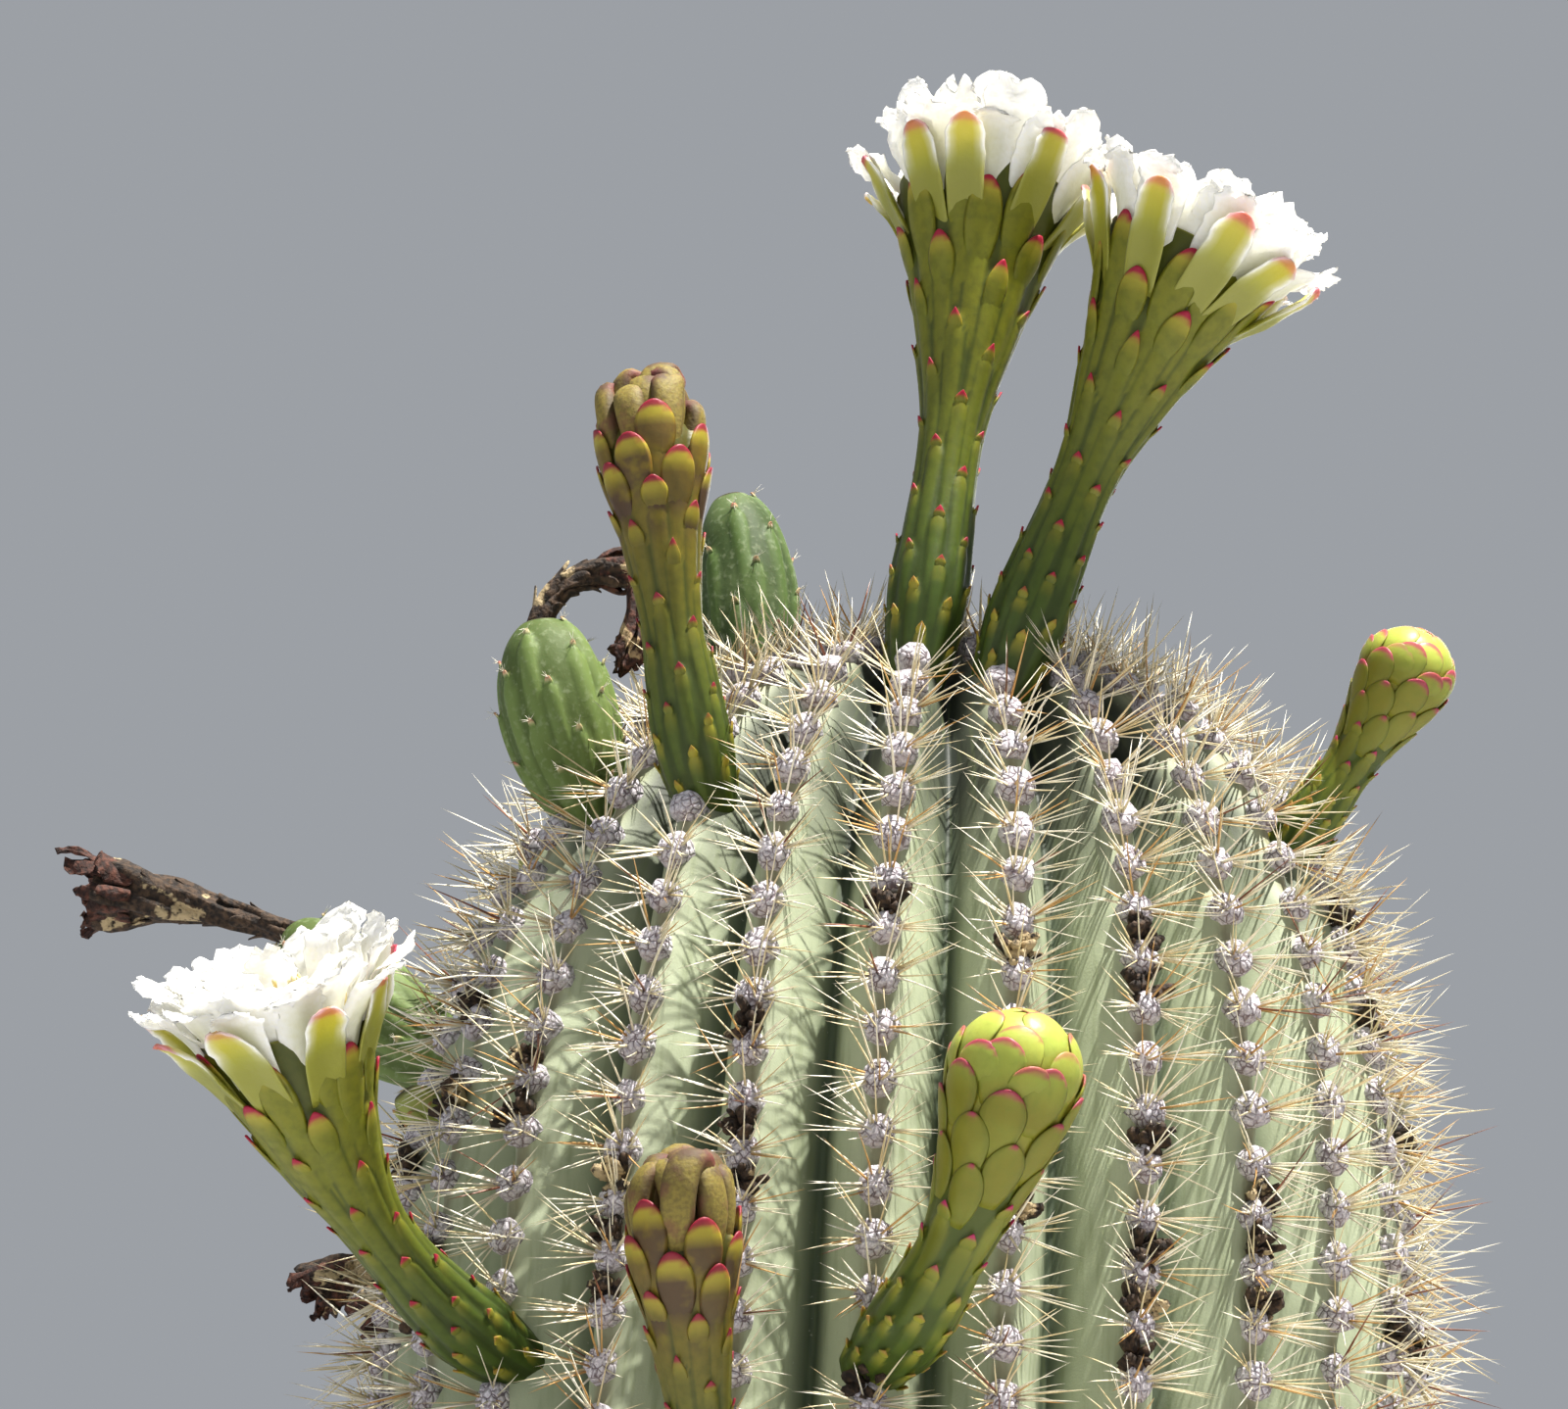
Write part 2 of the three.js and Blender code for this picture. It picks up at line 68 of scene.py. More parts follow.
# %% Sizes of the stem
MM = 0.001
STEM_RADIUS = 107  # over the rib crests, at the shoulder
FOOT_RADIUS = 110  # over the rib crests, at the cut
SHOULDER_HEIGHT = 100
STEM_HEIGHT = 265
CROWN_FULLNESS = 0.622  # power of the cosine that rounds the dome
CROWN_STEPS = 400
LEAN = 0.05  # drift towards +X for each mm of height
RIB_COUNT = 24
RIB_PITCH = 360 / RIB_COUNT
FIRST_RIB_AZIMUTH = -2.6
RIB_DEPTH = 14
RIB_SHALLOWING = 0.75  # power of the dome's radius with which the ribs grow shallower
AREOLE_PITCH = 11.6
AREOLE_SLIDE = 3  # the rows of neighbouring ribs are slid by up to this
SLIDE_STEP = 2.4  # radians of the slide's wave from one rib to the next
LOWEST_AREOLE = 6  # none is nearer the cut, so that no spine reaches below it
LAST_RING_RADIUS = 11
ROOT_DEPTH = 7  # a bloom starts this far inside the crest
GOLDEN_TURN = np.pi * (3 - np.sqrt(5))  # from one scale of a spiral to the next
print("ribs:", RIB_COUNT, "each", RIB_PITCH, "degrees wide")

# %% [markdown]
# ## Where each bloom stands
#
# Each entry gives the rib that carries the bloom, counted from the front, the height of its seat, the
# point that it bends towards and the point where it ends, and for buds and fruits a share of the largest
# one's size. An open flower ends at the rim of its tube.

# %% Places of the blooms
OPEN_FLOWERS = [
    (0, 253, (18.5, -56, 305), (25, -50, 358)),
    (1.15, 249, (45, -66, 293), (67, -70, 336)),
    (-3, 96, (-104, -104, 106), (-117, -130, 148)),
    (-11, 212, (-9, 115, 240), (-10, 130, 288)),
    (10, 150, (78, 122, 152), (74, 152, 202)),
]
CLOSING_FLOWERS = [
    (-2, 218, (-41, -85, 241), (-45.5, -85, 307)),
    (-1, 38, (-37, -145, 82), (-38, -145, 118)),
    (-9, 195, (-62, 112, 208), (-56, 128, 257)),
]
BUDS = [
    (0, 85, (20, -140, 92), (32, -150, 145), 1),
    (5, 221, (105, -32, 243), (118, -35, 267), 0.74),
    (11, 228, (42, 98, 240), (48, 108, 272), 0.82),
    (-11, 120, (-22, 136, 126), (-24, 148, 168), 0.9),
]
FRUITS = [
    (-4, 226, (-65, -44, 245), (-68, -45, 266), 1),
    (-7, 261, (-22, 12, 290), (-29, 13, 316), 0.9),
    (-6, 184, (-108, 8, 196), (-120, 15, 219), 0.95),
    (-10, 234, (-36, 90, 250), (-40, 96, 272), 0.95),
    (9, 216, (84, 76, 226), (84, 84, 250), 0.95),
]
YOUNG_FRUITS = [
    (-6, 223, (-68, 4, 228.5), (-67, 5, 235), 1),
    (-5, 164, (-93, -24, 165), (-96, -25, 169), 0.8),
]
DRIED_ON_STEM = [
    (-6, 139, (-106, 5, 143), (-115, 5, 134)),
    (-8, 156, (-90, 64, 160), (-104, 74, 152)),
]
SEATED = OPEN_FLOWERS + CLOSING_FLOWERS + [p[:4] for p in BUDS + FRUITS + YOUNG_FRUITS] + DRIED_ON_STEM
print("blooms and fruits seated on the stem:", len(SEATED))

# %% [markdown]
# ## From arrays to a mesh
#
# Everything that grows here is a tube: a spine is a thin one, a petal a flattened one, a fruit a fat one.
# So one table of faces serves them all, for rings of points between two poles. The sign of the volume that
# the faces hold tells whether they look out.

# %% Faces of a tube
def tube_faces(rings, sides):
    """Faces of a closed tube whose points are a start pole, then rings of sides points, then an end pole."""
    row = 1 + np.arange(rings - 1)[:, None] * sides
    turn = np.arange(sides)[None, :]
    after = (turn + 1) % sides
    above = row + sides
    quads = np.stack([row + turn, row + after, above + after, above + turn], -1).reshape(-1, 4)
    last = 1 + (rings - 1) * sides
    start = np.stack([np.zeros(sides, int), 1 + after[0], 1 + turn[0]], -1)
    end = np.stack([np.full(sides, last + sides), last + turn[0], last + after[0]], -1)
    return quads, np.concatenate([start, end])


def held_volume(points, faces):
    """Six times the volume inside a mesh: the sum of a . (b x c), each face fanned from its corner a."""
    total = 0
    for k in range(1, faces.shape[1] - 1):
        a, b, c = points[faces[:, 0]], points[faces[:, k]], points[faces[:, k + 1]]
        total += np.einsum("ij,ij->", a, np.cross(b, c))
    return total


def spread(mark, tubes, rings, sides):
    """A number for every point of some tubes, from an array of tubes x rings, or x rings x sides.

    A pole takes the mean of the ring next to it, unless the mark is a tuple that gives the poles' values.
    """
    value, *poles = mark if isinstance(mark, tuple) else (mark,)
    rows = value.reshape(tubes, rings, -1)
    start, end = poles or (rows[:, 0].mean(axis=1), rows[:, -1].mean(axis=1))
    body = np.broadcast_to(rows, (tubes, rings, sides)).reshape(tubes, -1)
    return np.column_stack([np.broadcast_to(start, tubes), body, np.broadcast_to(end, tubes)]).ravel()


print("faces of a tube of 3 rings and 8 sides:", [len(faces) for faces in tube_faces(3, 8)])

# %% [markdown]
# ## One mould for each piece
#
# A `Mould` gathers the tubes of one piece into one mesh, because a thousand small objects would be slow to
# draw and hard to move. It also keeps marks: numbers at each point that the materials read, such as how
# pink a scale's tip is.

# %% The mould
class Mould:
    """Collects the tubes of one piece, then makes it."""

    def __init__(self):
        self.points, self.quads, self.tris, self.marks, self.count = [], [], [], [], 0

    def add(self, points, rings, sides, **marks):
        """Adds tubes, an array of tubes x (2 + rings x sides) x 3 in mm, with marks for spread."""
        quads, tris = tube_faces(rings, sides)
        tubes, each = points.shape[:2]
        if held_volume(points[0], quads) + held_volume(points[0], tris) < 0:
            quads, tris = quads[:, ::-1], tris[:, ::-1]
        shift = (self.count + np.arange(tubes) * each)[:, None, None]
        self.points.append(points.reshape(-1, 3))
        self.quads.append((quads + shift).reshape(-1, 4))
        self.tris.append((tris + shift).reshape(-1, 3))
        self.marks.append({name: spread(mark, tubes, rings, sides) for name, mark in marks.items()})
        self.count += tubes * each

    def make(self, name, finishes, slot, nodes=(), finish_of_quad=None):
        """Makes the piece, rides it on the root and hides the solids that it stands for; the slot is not
        used.
        """
        points = np.concatenate(self.points) * MM
        quads, tris = np.concatenate(self.quads), np.concatenate(self.tris)
        corners = np.concatenate([quads.ravel(), tris.ravel()])
        starts = np.concatenate([np.arange(len(quads)) * 4, quads.size + np.arange(len(tris)) * 3])
        mesh = bpy.data.meshes.new(name)
        mesh.vertices.add(len(points))
        mesh.vertices.foreach_set("co", points.astype(np.float32).ravel())
        mesh.loops.add(len(corners))
        mesh.loops.foreach_set("vertex_index", corners.astype(np.int32))
        mesh.polygons.add(len(starts))
        mesh.polygons.foreach_set("loop_start", starts.astype(np.int32))
        mesh.update(calc_edges=True)
        mesh.polygons.foreach_set("use_smooth", np.ones(len(starts), bool))
        for finish in finishes:
            mesh.materials.append(finish)
        if finish_of_quad is not None:
            which = np.concatenate([finish_of_quad, np.zeros(len(tris), int)])
            mesh.polygons.foreach_set("material_index", which.astype(np.int32))
        for mark in sorted({mark for marks in self.marks for mark in marks}):
            values = [marks.get(mark, np.zeros(len(part))) for marks, part in zip(self.marks, self.points)]
            layer = mesh.attributes.new(mark, "FLOAT", "POINT")
            layer.data.foreach_set("value", np.concatenate(values).astype(np.float32))
        mesh.validate()
        piece = bpy.data.objects.new(name, mesh)
        bpy.context.collection.objects.link(piece)
        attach(piece, "root")
        if nodes:
            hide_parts(*nodes)
        print(f"{name}: {2 * len(quads) + len(tris)} triangles")
        return piece


print("a mould starts with", Mould().count, "points")

# %% [markdown]
# ## Small tools for shapes
#
# A smooth line through a few given points keeps a lathe's profile from looking like a polygon. A petal's
# width is one formula with two dials: how broad its foot is, and where it is widest. `rough` gives wavy
# noise without a texture.

# %% Smooth lines, leaf outlines and noise
def smooth_line(points, count):
    """Points of a Catmull-Rom curve: between two given ones, a cubic whose slopes follow the neighbours."""
    points = np.asarray(points, float)
    ends = np.concatenate([[2 * points[0] - points[1]], points, [2 * points[-1] - points[-2]]])
    place = np.linspace(0, len(points) - 1 - 1e-9, count)
    index = place.astype(int)
    t = (place - index)[:, None]
    a, b, c, d = (ends[index + k] for k in range(4))
    return 0.5 * (2 * b + (c - a) * t + (2 * a - 5 * b + 4 * c - d) * t**2 + (3 * b - a - 3 * c + d) * t**3)


def ramp(value, low, high):
    """0 below low, 1 above high, and a soft S between: t squared times 3 - 2t."""
    t = np.clip((value - low) / (high - low), 0, 1)
    return t * t * (3 - 2 * t)


def leaf_width(s, foot, widest, bluntness=2.0, point=0.5):
    """Width along a leaf as a share: a quarter sine up from the foot, then (1 - t^bluntness)^point.

    A point of 0.5 gives a round end, and 0.9 with a low bluntness gives a sharp one.
    """
    rise = foot + (1 - foot) * np.sin(np.pi / 2 * np.clip(s / widest, 0, 1))
    end = np.clip((s - widest) / (1 - widest), 0, 1)
    return rise * np.clip(1 - end**bluntness, 0, 1) ** point


def rough(points, size, seed):
    """Waves of about the given size in mm: the mean of five sines, each along its own direction."""
    chance = np.random.default_rng(seed)
    total = 0
    for _ in range(5):
        direction = chance.normal(size=3)
        direction *= 2 * np.pi / size / np.linalg.norm(direction)
        total = total + np.sin(points @ direction + chance.uniform(0, 2 * np.pi))
    return total / 5


def circle(sides):
    """The turns of a ring's points, evenly round."""
    return 2 * np.pi * np.arange(sides) / sides


def edges(sides):
    """How near each point of a ring is to the tube's two edges: 1 at them, 0 in the middle between."""
    return np.abs(np.cos(circle(sides)))


def staggered(count, stagger, spread, chance):
    """Turns evenly round a ring, shifted by a share of a step and strayed by chance."""
    return 2 * np.pi * (np.arange(count) + stagger) / count + chance.normal(0, spread, count)


def row_places(rows, power):
    """Places from 0 to short of 1 that crowd towards the end: 1 - (1 - t)^power."""
    return 1 - (1 - np.linspace(0, 1, rows + 1)[:-1]) ** power


def columns(count, *values):
    """Each value, one number or one for each of count things, as a column."""
    return [np.broadcast_to(np.asarray(value, float), count)[:, None] for value in values]


print("leaf width at five places:", leaf_width(np.linspace(0, 1, 5), 0.4, 0.7).round(2))

# %% [markdown]
# ## Small tools for directions
#
# A ring round a line needs two directions square to the line and to each other, which two cross products
# give. With whole arrays, thousands of rings are made in one go.

# %% Directions, rings and poles
def unit(vectors):
    """The same directions with length 1."""
    return vectors / np.linalg.norm(vectors, axis=-1, keepdims=True)


def square_pair(direction, helper):
    """Two unit directions square to a direction and to each other; the helper only must not lie along it."""
    one = unit(np.cross(direction, helper))
    return one, np.cross(direction, one)


def rings_round(centre, pair, radius, sides):
    """Rings round the points of lines: the radius times a cosine one way and a sine the other way."""
    one, two = (axis.reshape(len(axis), -1, 1, 3) for axis in pair)
    across, up = radius * np.cos(circle(sides)), radius * np.sin(circle(sides))
    return centre[:, :, None] + one * across[..., None] + two * up[..., None]


def along_skin(turn, upward, sideways):
    """Directions that lie in the skin, at a turn from sideways towards upward."""
    return np.cos(turn)[..., None] * sideways[:, None] + np.sin(turn)[..., None] * upward[:, None]


def with_poles(rings, start, end):
    """Puts a start and an end pole round rings: tubes x rings x sides x 3 becomes tubes x points x 3."""
    tubes = len(rings)
    parts = start, rings, end
    return np.concatenate([part.reshape(tubes, -1, rings.shape[-1]) for part in parts], axis=1)


print("a direction of length 1:", unit(np.array([3.0, 4.0, 0.0])))

# %% [markdown]
# ## The stem's outline
#
# The outline is the one that the solid was turned from: straight up to the shoulder, then a quarter of an
# oval. Places on it are measured by arc length, because areoles keep their distance along the skin.

# %% Outline of the stem
def stem_outline():
    """Radius, height and arc length from the cut to the tip, with the outward normal's two parts."""
    angle = np.linspace(0, np.pi / 2, CROWN_STEPS + 1)
    radius = np.concatenate([[FOOT_RADIUS], STEM_RADIUS * np.cos(angle) ** CROWN_FULLNESS])
    height = np.concatenate([[0], SHOULDER_HEIGHT + (STEM_HEIGHT - SHOULDER_HEIGHT) * np.sin(angle)])
    step = np.hypot(np.diff(radius), np.diff(height))
    along = np.concatenate([[0], np.cumsum(step)])
    out, up = np.diff(height) / step, -np.diff(radius) / step
    out[0], up[0] = 1, 0
    middle = (along[1:] + along[:-1]) / 2
    return {"r": radius, "z": height, "along": along, "middle": middle, "out": out, "up": up}


OUTLINE = stem_outline()
END_ALONG = np.interp(-LAST_RING_RADIUS, -OUTLINE["r"], OUTLINE["along"])


def stem_radius(along):
    """The crest's radius at an arc length."""
    return np.interp(along, OUTLINE["along"], OUTLINE["r"])


def along_at(height):
    """The arc length at a height."""
    return np.interp(height, OUTLINE["z"], OUTLINE["along"])


def stem_point(azimuth, along, sunk=0.0):
    """A point on the crest's outline at an azimuth and arc length, sunk along the outline's normal."""
    turn = np.radians(azimuth)
    out = np.interp(along, OUTLINE["middle"], OUTLINE["out"])
    up = np.interp(along, OUTLINE["middle"], OUTLINE["up"])
    radius = stem_radius(along) - sunk * out
    height = np.interp(along, OUTLINE["along"], OUTLINE["z"]) - sunk * up
    return np.stack([LEAN * height + radius * np.sin(turn), -radius * np.cos(turn), height], -1)


def crest_frame(azimuth, along):
    """Outward, upward and sideways unit directions on a crest."""
    turn = np.radians(azimuth)
    level = np.stack([np.sin(turn), -np.cos(turn), np.zeros_like(turn)], -1)
    out = np.interp(along, OUTLINE["middle"], OUTLINE["out"])[..., None]
    up = np.interp(along, OUTLINE["middle"], OUTLINE["up"])[..., None]
    plumb = np.array([0.0, 0.0, 1.0])
    normal = unit(out * level + up * plumb)
    upward = unit(out * plumb - up * level)
    return normal, upward, np.cross(upward, normal)


def rib_wander(rib, along):
    """Degrees by which a rib strays from its even place: a slow wave, out of step with its neighbours."""
    return 0.5 * np.sin(along / 41 + 1.9 * rib) * ramp(along, 0, 60)


print("arc length to the last ring:", round(float(END_ALONG), 1), "mm")

# %% [markdown]
# ## The line a bloom grows along
#
# A flower leaves its rib square to the skin and then bends up to the light. A quadratic curve does that
# with three points. The rings round it never twist, because one of their directions is square to the plane
# that the curve bends in.

# %% Growth lines
class Growth:
    """The line of a bloom: a quadratic curve from its start, past its bend, to its tip, by arc length."""

    def __init__(self, start, bend, tip):
        start, bend, tip = (np.asarray(p, float) for p in (start, bend, tip))
        t = np.linspace(0, 1, 401)[:, None]
        self.line = (1 - t) ** 2 * start + 2 * t * (1 - t) * bend + t**2 * tip
        self.slope = unit(2 * (1 - t) * (bend - start) + 2 * t * (tip - bend))
        steps = np.linalg.norm(np.diff(self.line, axis=0), axis=1)
        self.along = np.concatenate([[0], np.cumsum(steps)])
        self.length = self.along[-1]
        self.side = unit(np.cross(bend - start, tip - start))

    def read(self, table, distance):
        """A row of a table at each distance."""
        return np.stack([np.interp(distance, self.along, table[:, k]) for k in range(3)], -1)

    def place(self, radius, distance, turn):
        """A point at a radius and turn about the line; past its ends the line runs on straight."""
        radius, distance, turn = np.broadcast_arrays(radius, distance, turn)
        inside = np.clip(distance, 0, self.length)
        forward = unit(self.read(self.slope, inside))
        across = np.cross(self.side, forward)
        middle = self.read(self.line, inside) + forward * (distance - inside)[..., None]
        sideways = (radius * np.cos(turn))[..., None]
        return middle + self.side * sideways + across * (radius * np.sin(turn))[..., None]


def on_stem(rib, height, bend, tip):
    """The growth line of a bloom on a rib, started inside the crest."""
    seat = stem_point(FIRST_RIB_AZIMUTH + rib * RIB_PITCH, along_at(height), ROOT_DEPTH)
    return Growth(seat, bend, tip)


print("lengths of the open flowers' tubes:", [round(float(on_stem(*p).length)) for p in OPEN_FLOWERS], "mm")

# %% [markdown]
# ## Shader maths as arithmetic
#
# A material is a small sum of masks and colours. A mask reads better as a line of arithmetic than as wired
# nodes, so `Value` wraps a shader socket and turns + - and * into nodes.

# %% Value
def ink(code):
    """A colour written as 0xRRGGBB, turned from display values into the linear ones that shaders use."""
    parts = np.array([(code >> shift) & 255 for shift in (16, 8, 0)]) / 255
    linear = np.where(parts <= 0.04045, parts / 12.92, ((parts + 0.055) / 1.055) ** 2.4)
    return (*linear.tolist(), 1.0)


class Value:
    """A shader socket that adds a Math node for each operator."""

    def __init__(self, finish, socket):
        self.finish, self.socket = finish, socket

    def maths(self, operation, *terms):
        """A Math node of the operation on the terms."""
        return self.finish.node("ShaderNodeMath", {"operation": operation}, dict(enumerate(terms)))

    def __add__(self, other):
        return self.maths("ADD", self, other)

    def __sub__(self, other):
        return self.maths("SUBTRACT", self, other)

    def __rsub__(self, other):
        return self.maths("SUBTRACT", other, self)

    def __mul__(self, other):
        return self.maths("MULTIPLY", self, other)

    __radd__, __rmul__ = __add__, __mul__

    def between(self, low, high):
        """A soft step from 0 at low to 1 at high; low may be the larger."""
        return self.finish.node("ShaderNodeMapRange", {"interpolation_type": "SMOOTHSTEP"},
                                {"Value": self, "From Min": low, "From Max": high})


print("sage green in linear values:", [round(v, 3) for v in ink(0x93A386)])

# %% [markdown]
# ## One class for every finish
#
# Every finish hangs on one Principled shader. What differs is the colour, laid on in coats as a painter
# would: a ground, then each coat through its own mask, a noise or a mark of the mesh. Noise reads object
# coordinates, so that it sits still on the piece.

# %% Finish
class Finish:
    """A procedural material on one Principled shader."""

    def __init__(self, name, roughness, **fixed):
        self.material = bpy.data.materials.new(name)
        self.material.use_nodes = True
        self.tree = self.material.node_tree
        self.shader = self.tree.nodes["Principled BSDF"]
        self.shader.inputs["Roughness"].default_value = roughness
        for socket, value in fixed.items():
            self.shader.inputs[socket.replace("_", " ")].default_value = value

    def node(self, kind, settings, inputs, output=0):
        """Adds a node, sets it, then fills or links its sockets; returns one of its outputs."""
        node = self.tree.nodes.new(kind)
        for name, value in settings.items():
            setattr(node, name, value)
        for name, value in inputs.items():
            if isinstance(value, Value):
                self.tree.links.new(value.socket, node.inputs[name])
            else:
                node.inputs[name].default_value = value
        return Value(self, node.outputs[output])

    def link(self, value, socket):
        """Drives a socket of the shader with a value."""
        self.tree.links.new(value.socket, self.shader.inputs[socket])

    def mark(self, name):
        """A number that the mesh keeps at its points."""
        return self.node("ShaderNodeAttribute", {"attribute_name": name}, {}, "Fac")

    def where(self):
        """Object coordinates in metres."""
        return self.node("ShaderNodeTexCoord", {}, {}, "Object")

    def noise(self, size, detail=3, at=None):
        """Noise with features of about the given size in mm, from 0 to 1 about 0.5."""
        inputs = {"Vector": at or self.where(), "Scale": 1 / (size * MM), "Detail": detail}
        return self.node("ShaderNodeTexNoise", {}, inputs)

    def cells(self, size):
        """Cells of about the given size in mm: the distance from the nearest border between two of them."""
        inputs = {"Vector": self.where(), "Scale": 1 / (size * MM)}
        return self.node("ShaderNodeTexVoronoi", {"feature": "DISTANCE_TO_EDGE"}, inputs)

    def mix(self, share, low, high):
        """A colour between two others."""
        return self.node("ShaderNodeMix", {"data_type": "RGBA", "clamp_factor": True},
                         {0: share, 6: low, 7: high}, 2)

    def coats(self, ground, *coats):
        """A colour built up in coats: each is a mask and the colour that it lays over the ones before."""
        colour = ink(ground)
        for mask, code in coats:
            colour = self.mix(mask, colour, ink(code))
        return colour

    def done(self, colour, relief=None, strength=0.4, depth=0.4, roughness=None):
        """Links the colour, the relief as a bump of a depth in mm, and the roughness."""
        self.link(colour, "Base Color")
        if relief is not None:
            heights = {"Strength": strength, "Distance": depth * MM, "Height": relief}
            self.link(self.node("ShaderNodeBump", {}, heights), "Normal")
        if roughness is not None:
            self.link(roughness, "Roughness")
        return self.material


def plain_finish(name, light, dark, size, roughness, relief=0.3):
    """A finish of two tones, dealt by one noise of a size in mm."""
    finish = Finish(name, roughness)
    grain = finish.noise(size, 3)
    return finish.done(finish.coats(light, (grain.between(0.3, 0.7), dark)), grain, relief, 0.4)


print("materials so far:", len(bpy.data.materials))

# %% [markdown]
# ## The skin's finish
#
# A saguaro's skin is waxy and nearly matt: pale grey-green on the ribs and darker in the valleys, partly its
# own deeper green and partly painted shade, with painted shade near black deep in the valleys of the crown.
# It has fine streaks along the stem and a worn tan line between two areoles. The mesh marks how far each
# point lies from the crest, so the colours follow the ribs over the dome. The flat cut is pale wet flesh
# with woody strands and a green rind.

# %% Finish of the skin and of the flat cut
def skin_finish():
    """Valleys darker, partly by painted shade, and painted shade near black in the crown's valleys; streaks;
    a worn crest; pale specks.
    """
    finish = Finish("waxy_skin", 0.6, Specular_IOR_Level=0.35)
    valley = finish.mark("valley")
    skin_map = finish.node("ShaderNodeUVMap", {"uv_map": "Skin"}, {})
    stretched = finish.node("ShaderNodeMapping", {}, {"Vector": skin_map, "Scale": (1, 0.07, 1)})
    streaks = finish.noise(1.6, 4, at=stretched)
    broad = finish.noise(38, 3)
    colour = finish.coats(
        0xABB496,
        # Darker in the valleys: partly the skin's own deeper green, partly painted shade.
        (valley.between(0.64, 0.98), 0x3E4C36),
        # Painted shade: near black deep in the valleys of the crown, where shade falls.
        (finish.mark("young") * valley.between(0.1, 0.5) * 0.93, 0x161E17),
        (broad.between(0.4, 0.72) * 0.4 * (1 - valley), 0xBCC4A8),
        (streaks.between(0.5, 0.72) * 0.4, 0x6E7A50),
        (finish.mark("crest_line") * (0.55 + 0.45 * finish.noise(2.5, 2)), 0x75684A),
        (finish.noise(1.1, 2).between(0.7, 0.78) * 0.3, 0xC6C8B8),
    )
    relief = streaks * 0.6 + finish.noise(0.5, 2) * 0.4
    return finish.done(colour, relief, 0.35, 0.35, 0.5 + 0.2 * broad)


def cut_finish():
    """From the pith outwards: pale flesh, greener flesh, a green rind, and tan strands in a ring."""
    finish = Finish("cut_flesh", 0.45)
    ring = finish.mark("ring")
    bundle = finish.mark("bundle")
    grain = finish.noise(3, 4)
    colour = finish.coats(
        0xE6E4C4,
        (ring.between(0.45, 0.95), 0xC3CFA0),
        (grain.between(0.35, 0.7) * 0.4, 0xB9C48F),
        (ring.between(0.955, 0.985), 0x66794E),
        (bundle, 0xA58A55),
    )
    return finish.done(colour, grain + 0.6 * bundle, 0.4, 0.6)


SKIN, CUT = skin_finish(), cut_finish()
print("finishes:", SKIN.name, CUT.name)

# %% [markdown]
# ## Where the areoles are
#
# Areoles follow each other up every rib at an even pitch, out of step with those of the next rib, so each
# row is slid by a wave that runs round the stem. Their places come first, because the skin swells under
# each of them.

# %% Areole places
def first_areole(rib):
    """Arc length of the lowest areole of a rib: half a pitch, slid by a wave."""
    return AREOLE_PITCH / 2 + AREOLE_SLIDE * np.sin(SLIDE_STEP * rib)


def areole_places():
    """Rib, number on its rib, arc length and azimuth of every areole: an even row along each rib."""
    rib, number = np.indices((RIB_COUNT, int(END_ALONG / AREOLE_PITCH) + 1)).reshape(2, -1)
    along = first_areole(rib) + AREOLE_PITCH * number
    kept = (along > LOWEST_AREOLE) & (along < END_ALONG - AREOLE_PITCH / 2)
    rib, number, along = rib[kept], number[kept], along[kept]
    return rib, number, along, FIRST_RIB_AZIMUTH + rib * RIB_PITCH + rib_wander(rib, along)


def areole_nearness(rib, along):
    """1 at an areole's height on its rib, falling as a bell curve to about 0 halfway to the next."""
    phase = (along - first_areole(rib)) / AREOLE_PITCH
    away = np.abs(phase - np.round(phase)) * AREOLE_PITCH
    return np.exp(-((away / 3.4) ** 2))


AREOLE_RIB, AREOLE_NUMBER, AREOLE_ALONG, AREOLE_AZIMUTH = areole_places()
print("areoles:", len(AREOLE_RIB))

# %% [markdown]
# ## The ribbed skin
#
# Across a rib the surface is a flattened parabola, so that two ribs meet in a sharp crease. The skin
# swells round each areole and dips to a shallow groove between two of them. One grid of arc length and
# azimuth makes all of it.

# %% Skin mesh
SKIN_COLUMNS = 16  # to a rib
SKIN_ROWS = 210
TIP_ROWS = 12


def skin_grid():
    """Azimuth, rib, share of the way from crest to valley, and arc length, of a grid over the whole skin."""
    across = (np.arange(RIB_COUNT * SKIN_COLUMNS) + 0.5) / SKIN_COLUMNS - 0.5
    rib = np.round(across).astype(int)
    along = np.concatenate([np.linspace(0, END_ALONG, SKIN_ROWS),
                            np.linspace(END_ALONG, OUTLINE["along"][-1] - 0.6, TIP_ROWS + 1)[1:]])
    return across[None], rib[None], np.abs(2 * (across - rib))[None], along[:, None]


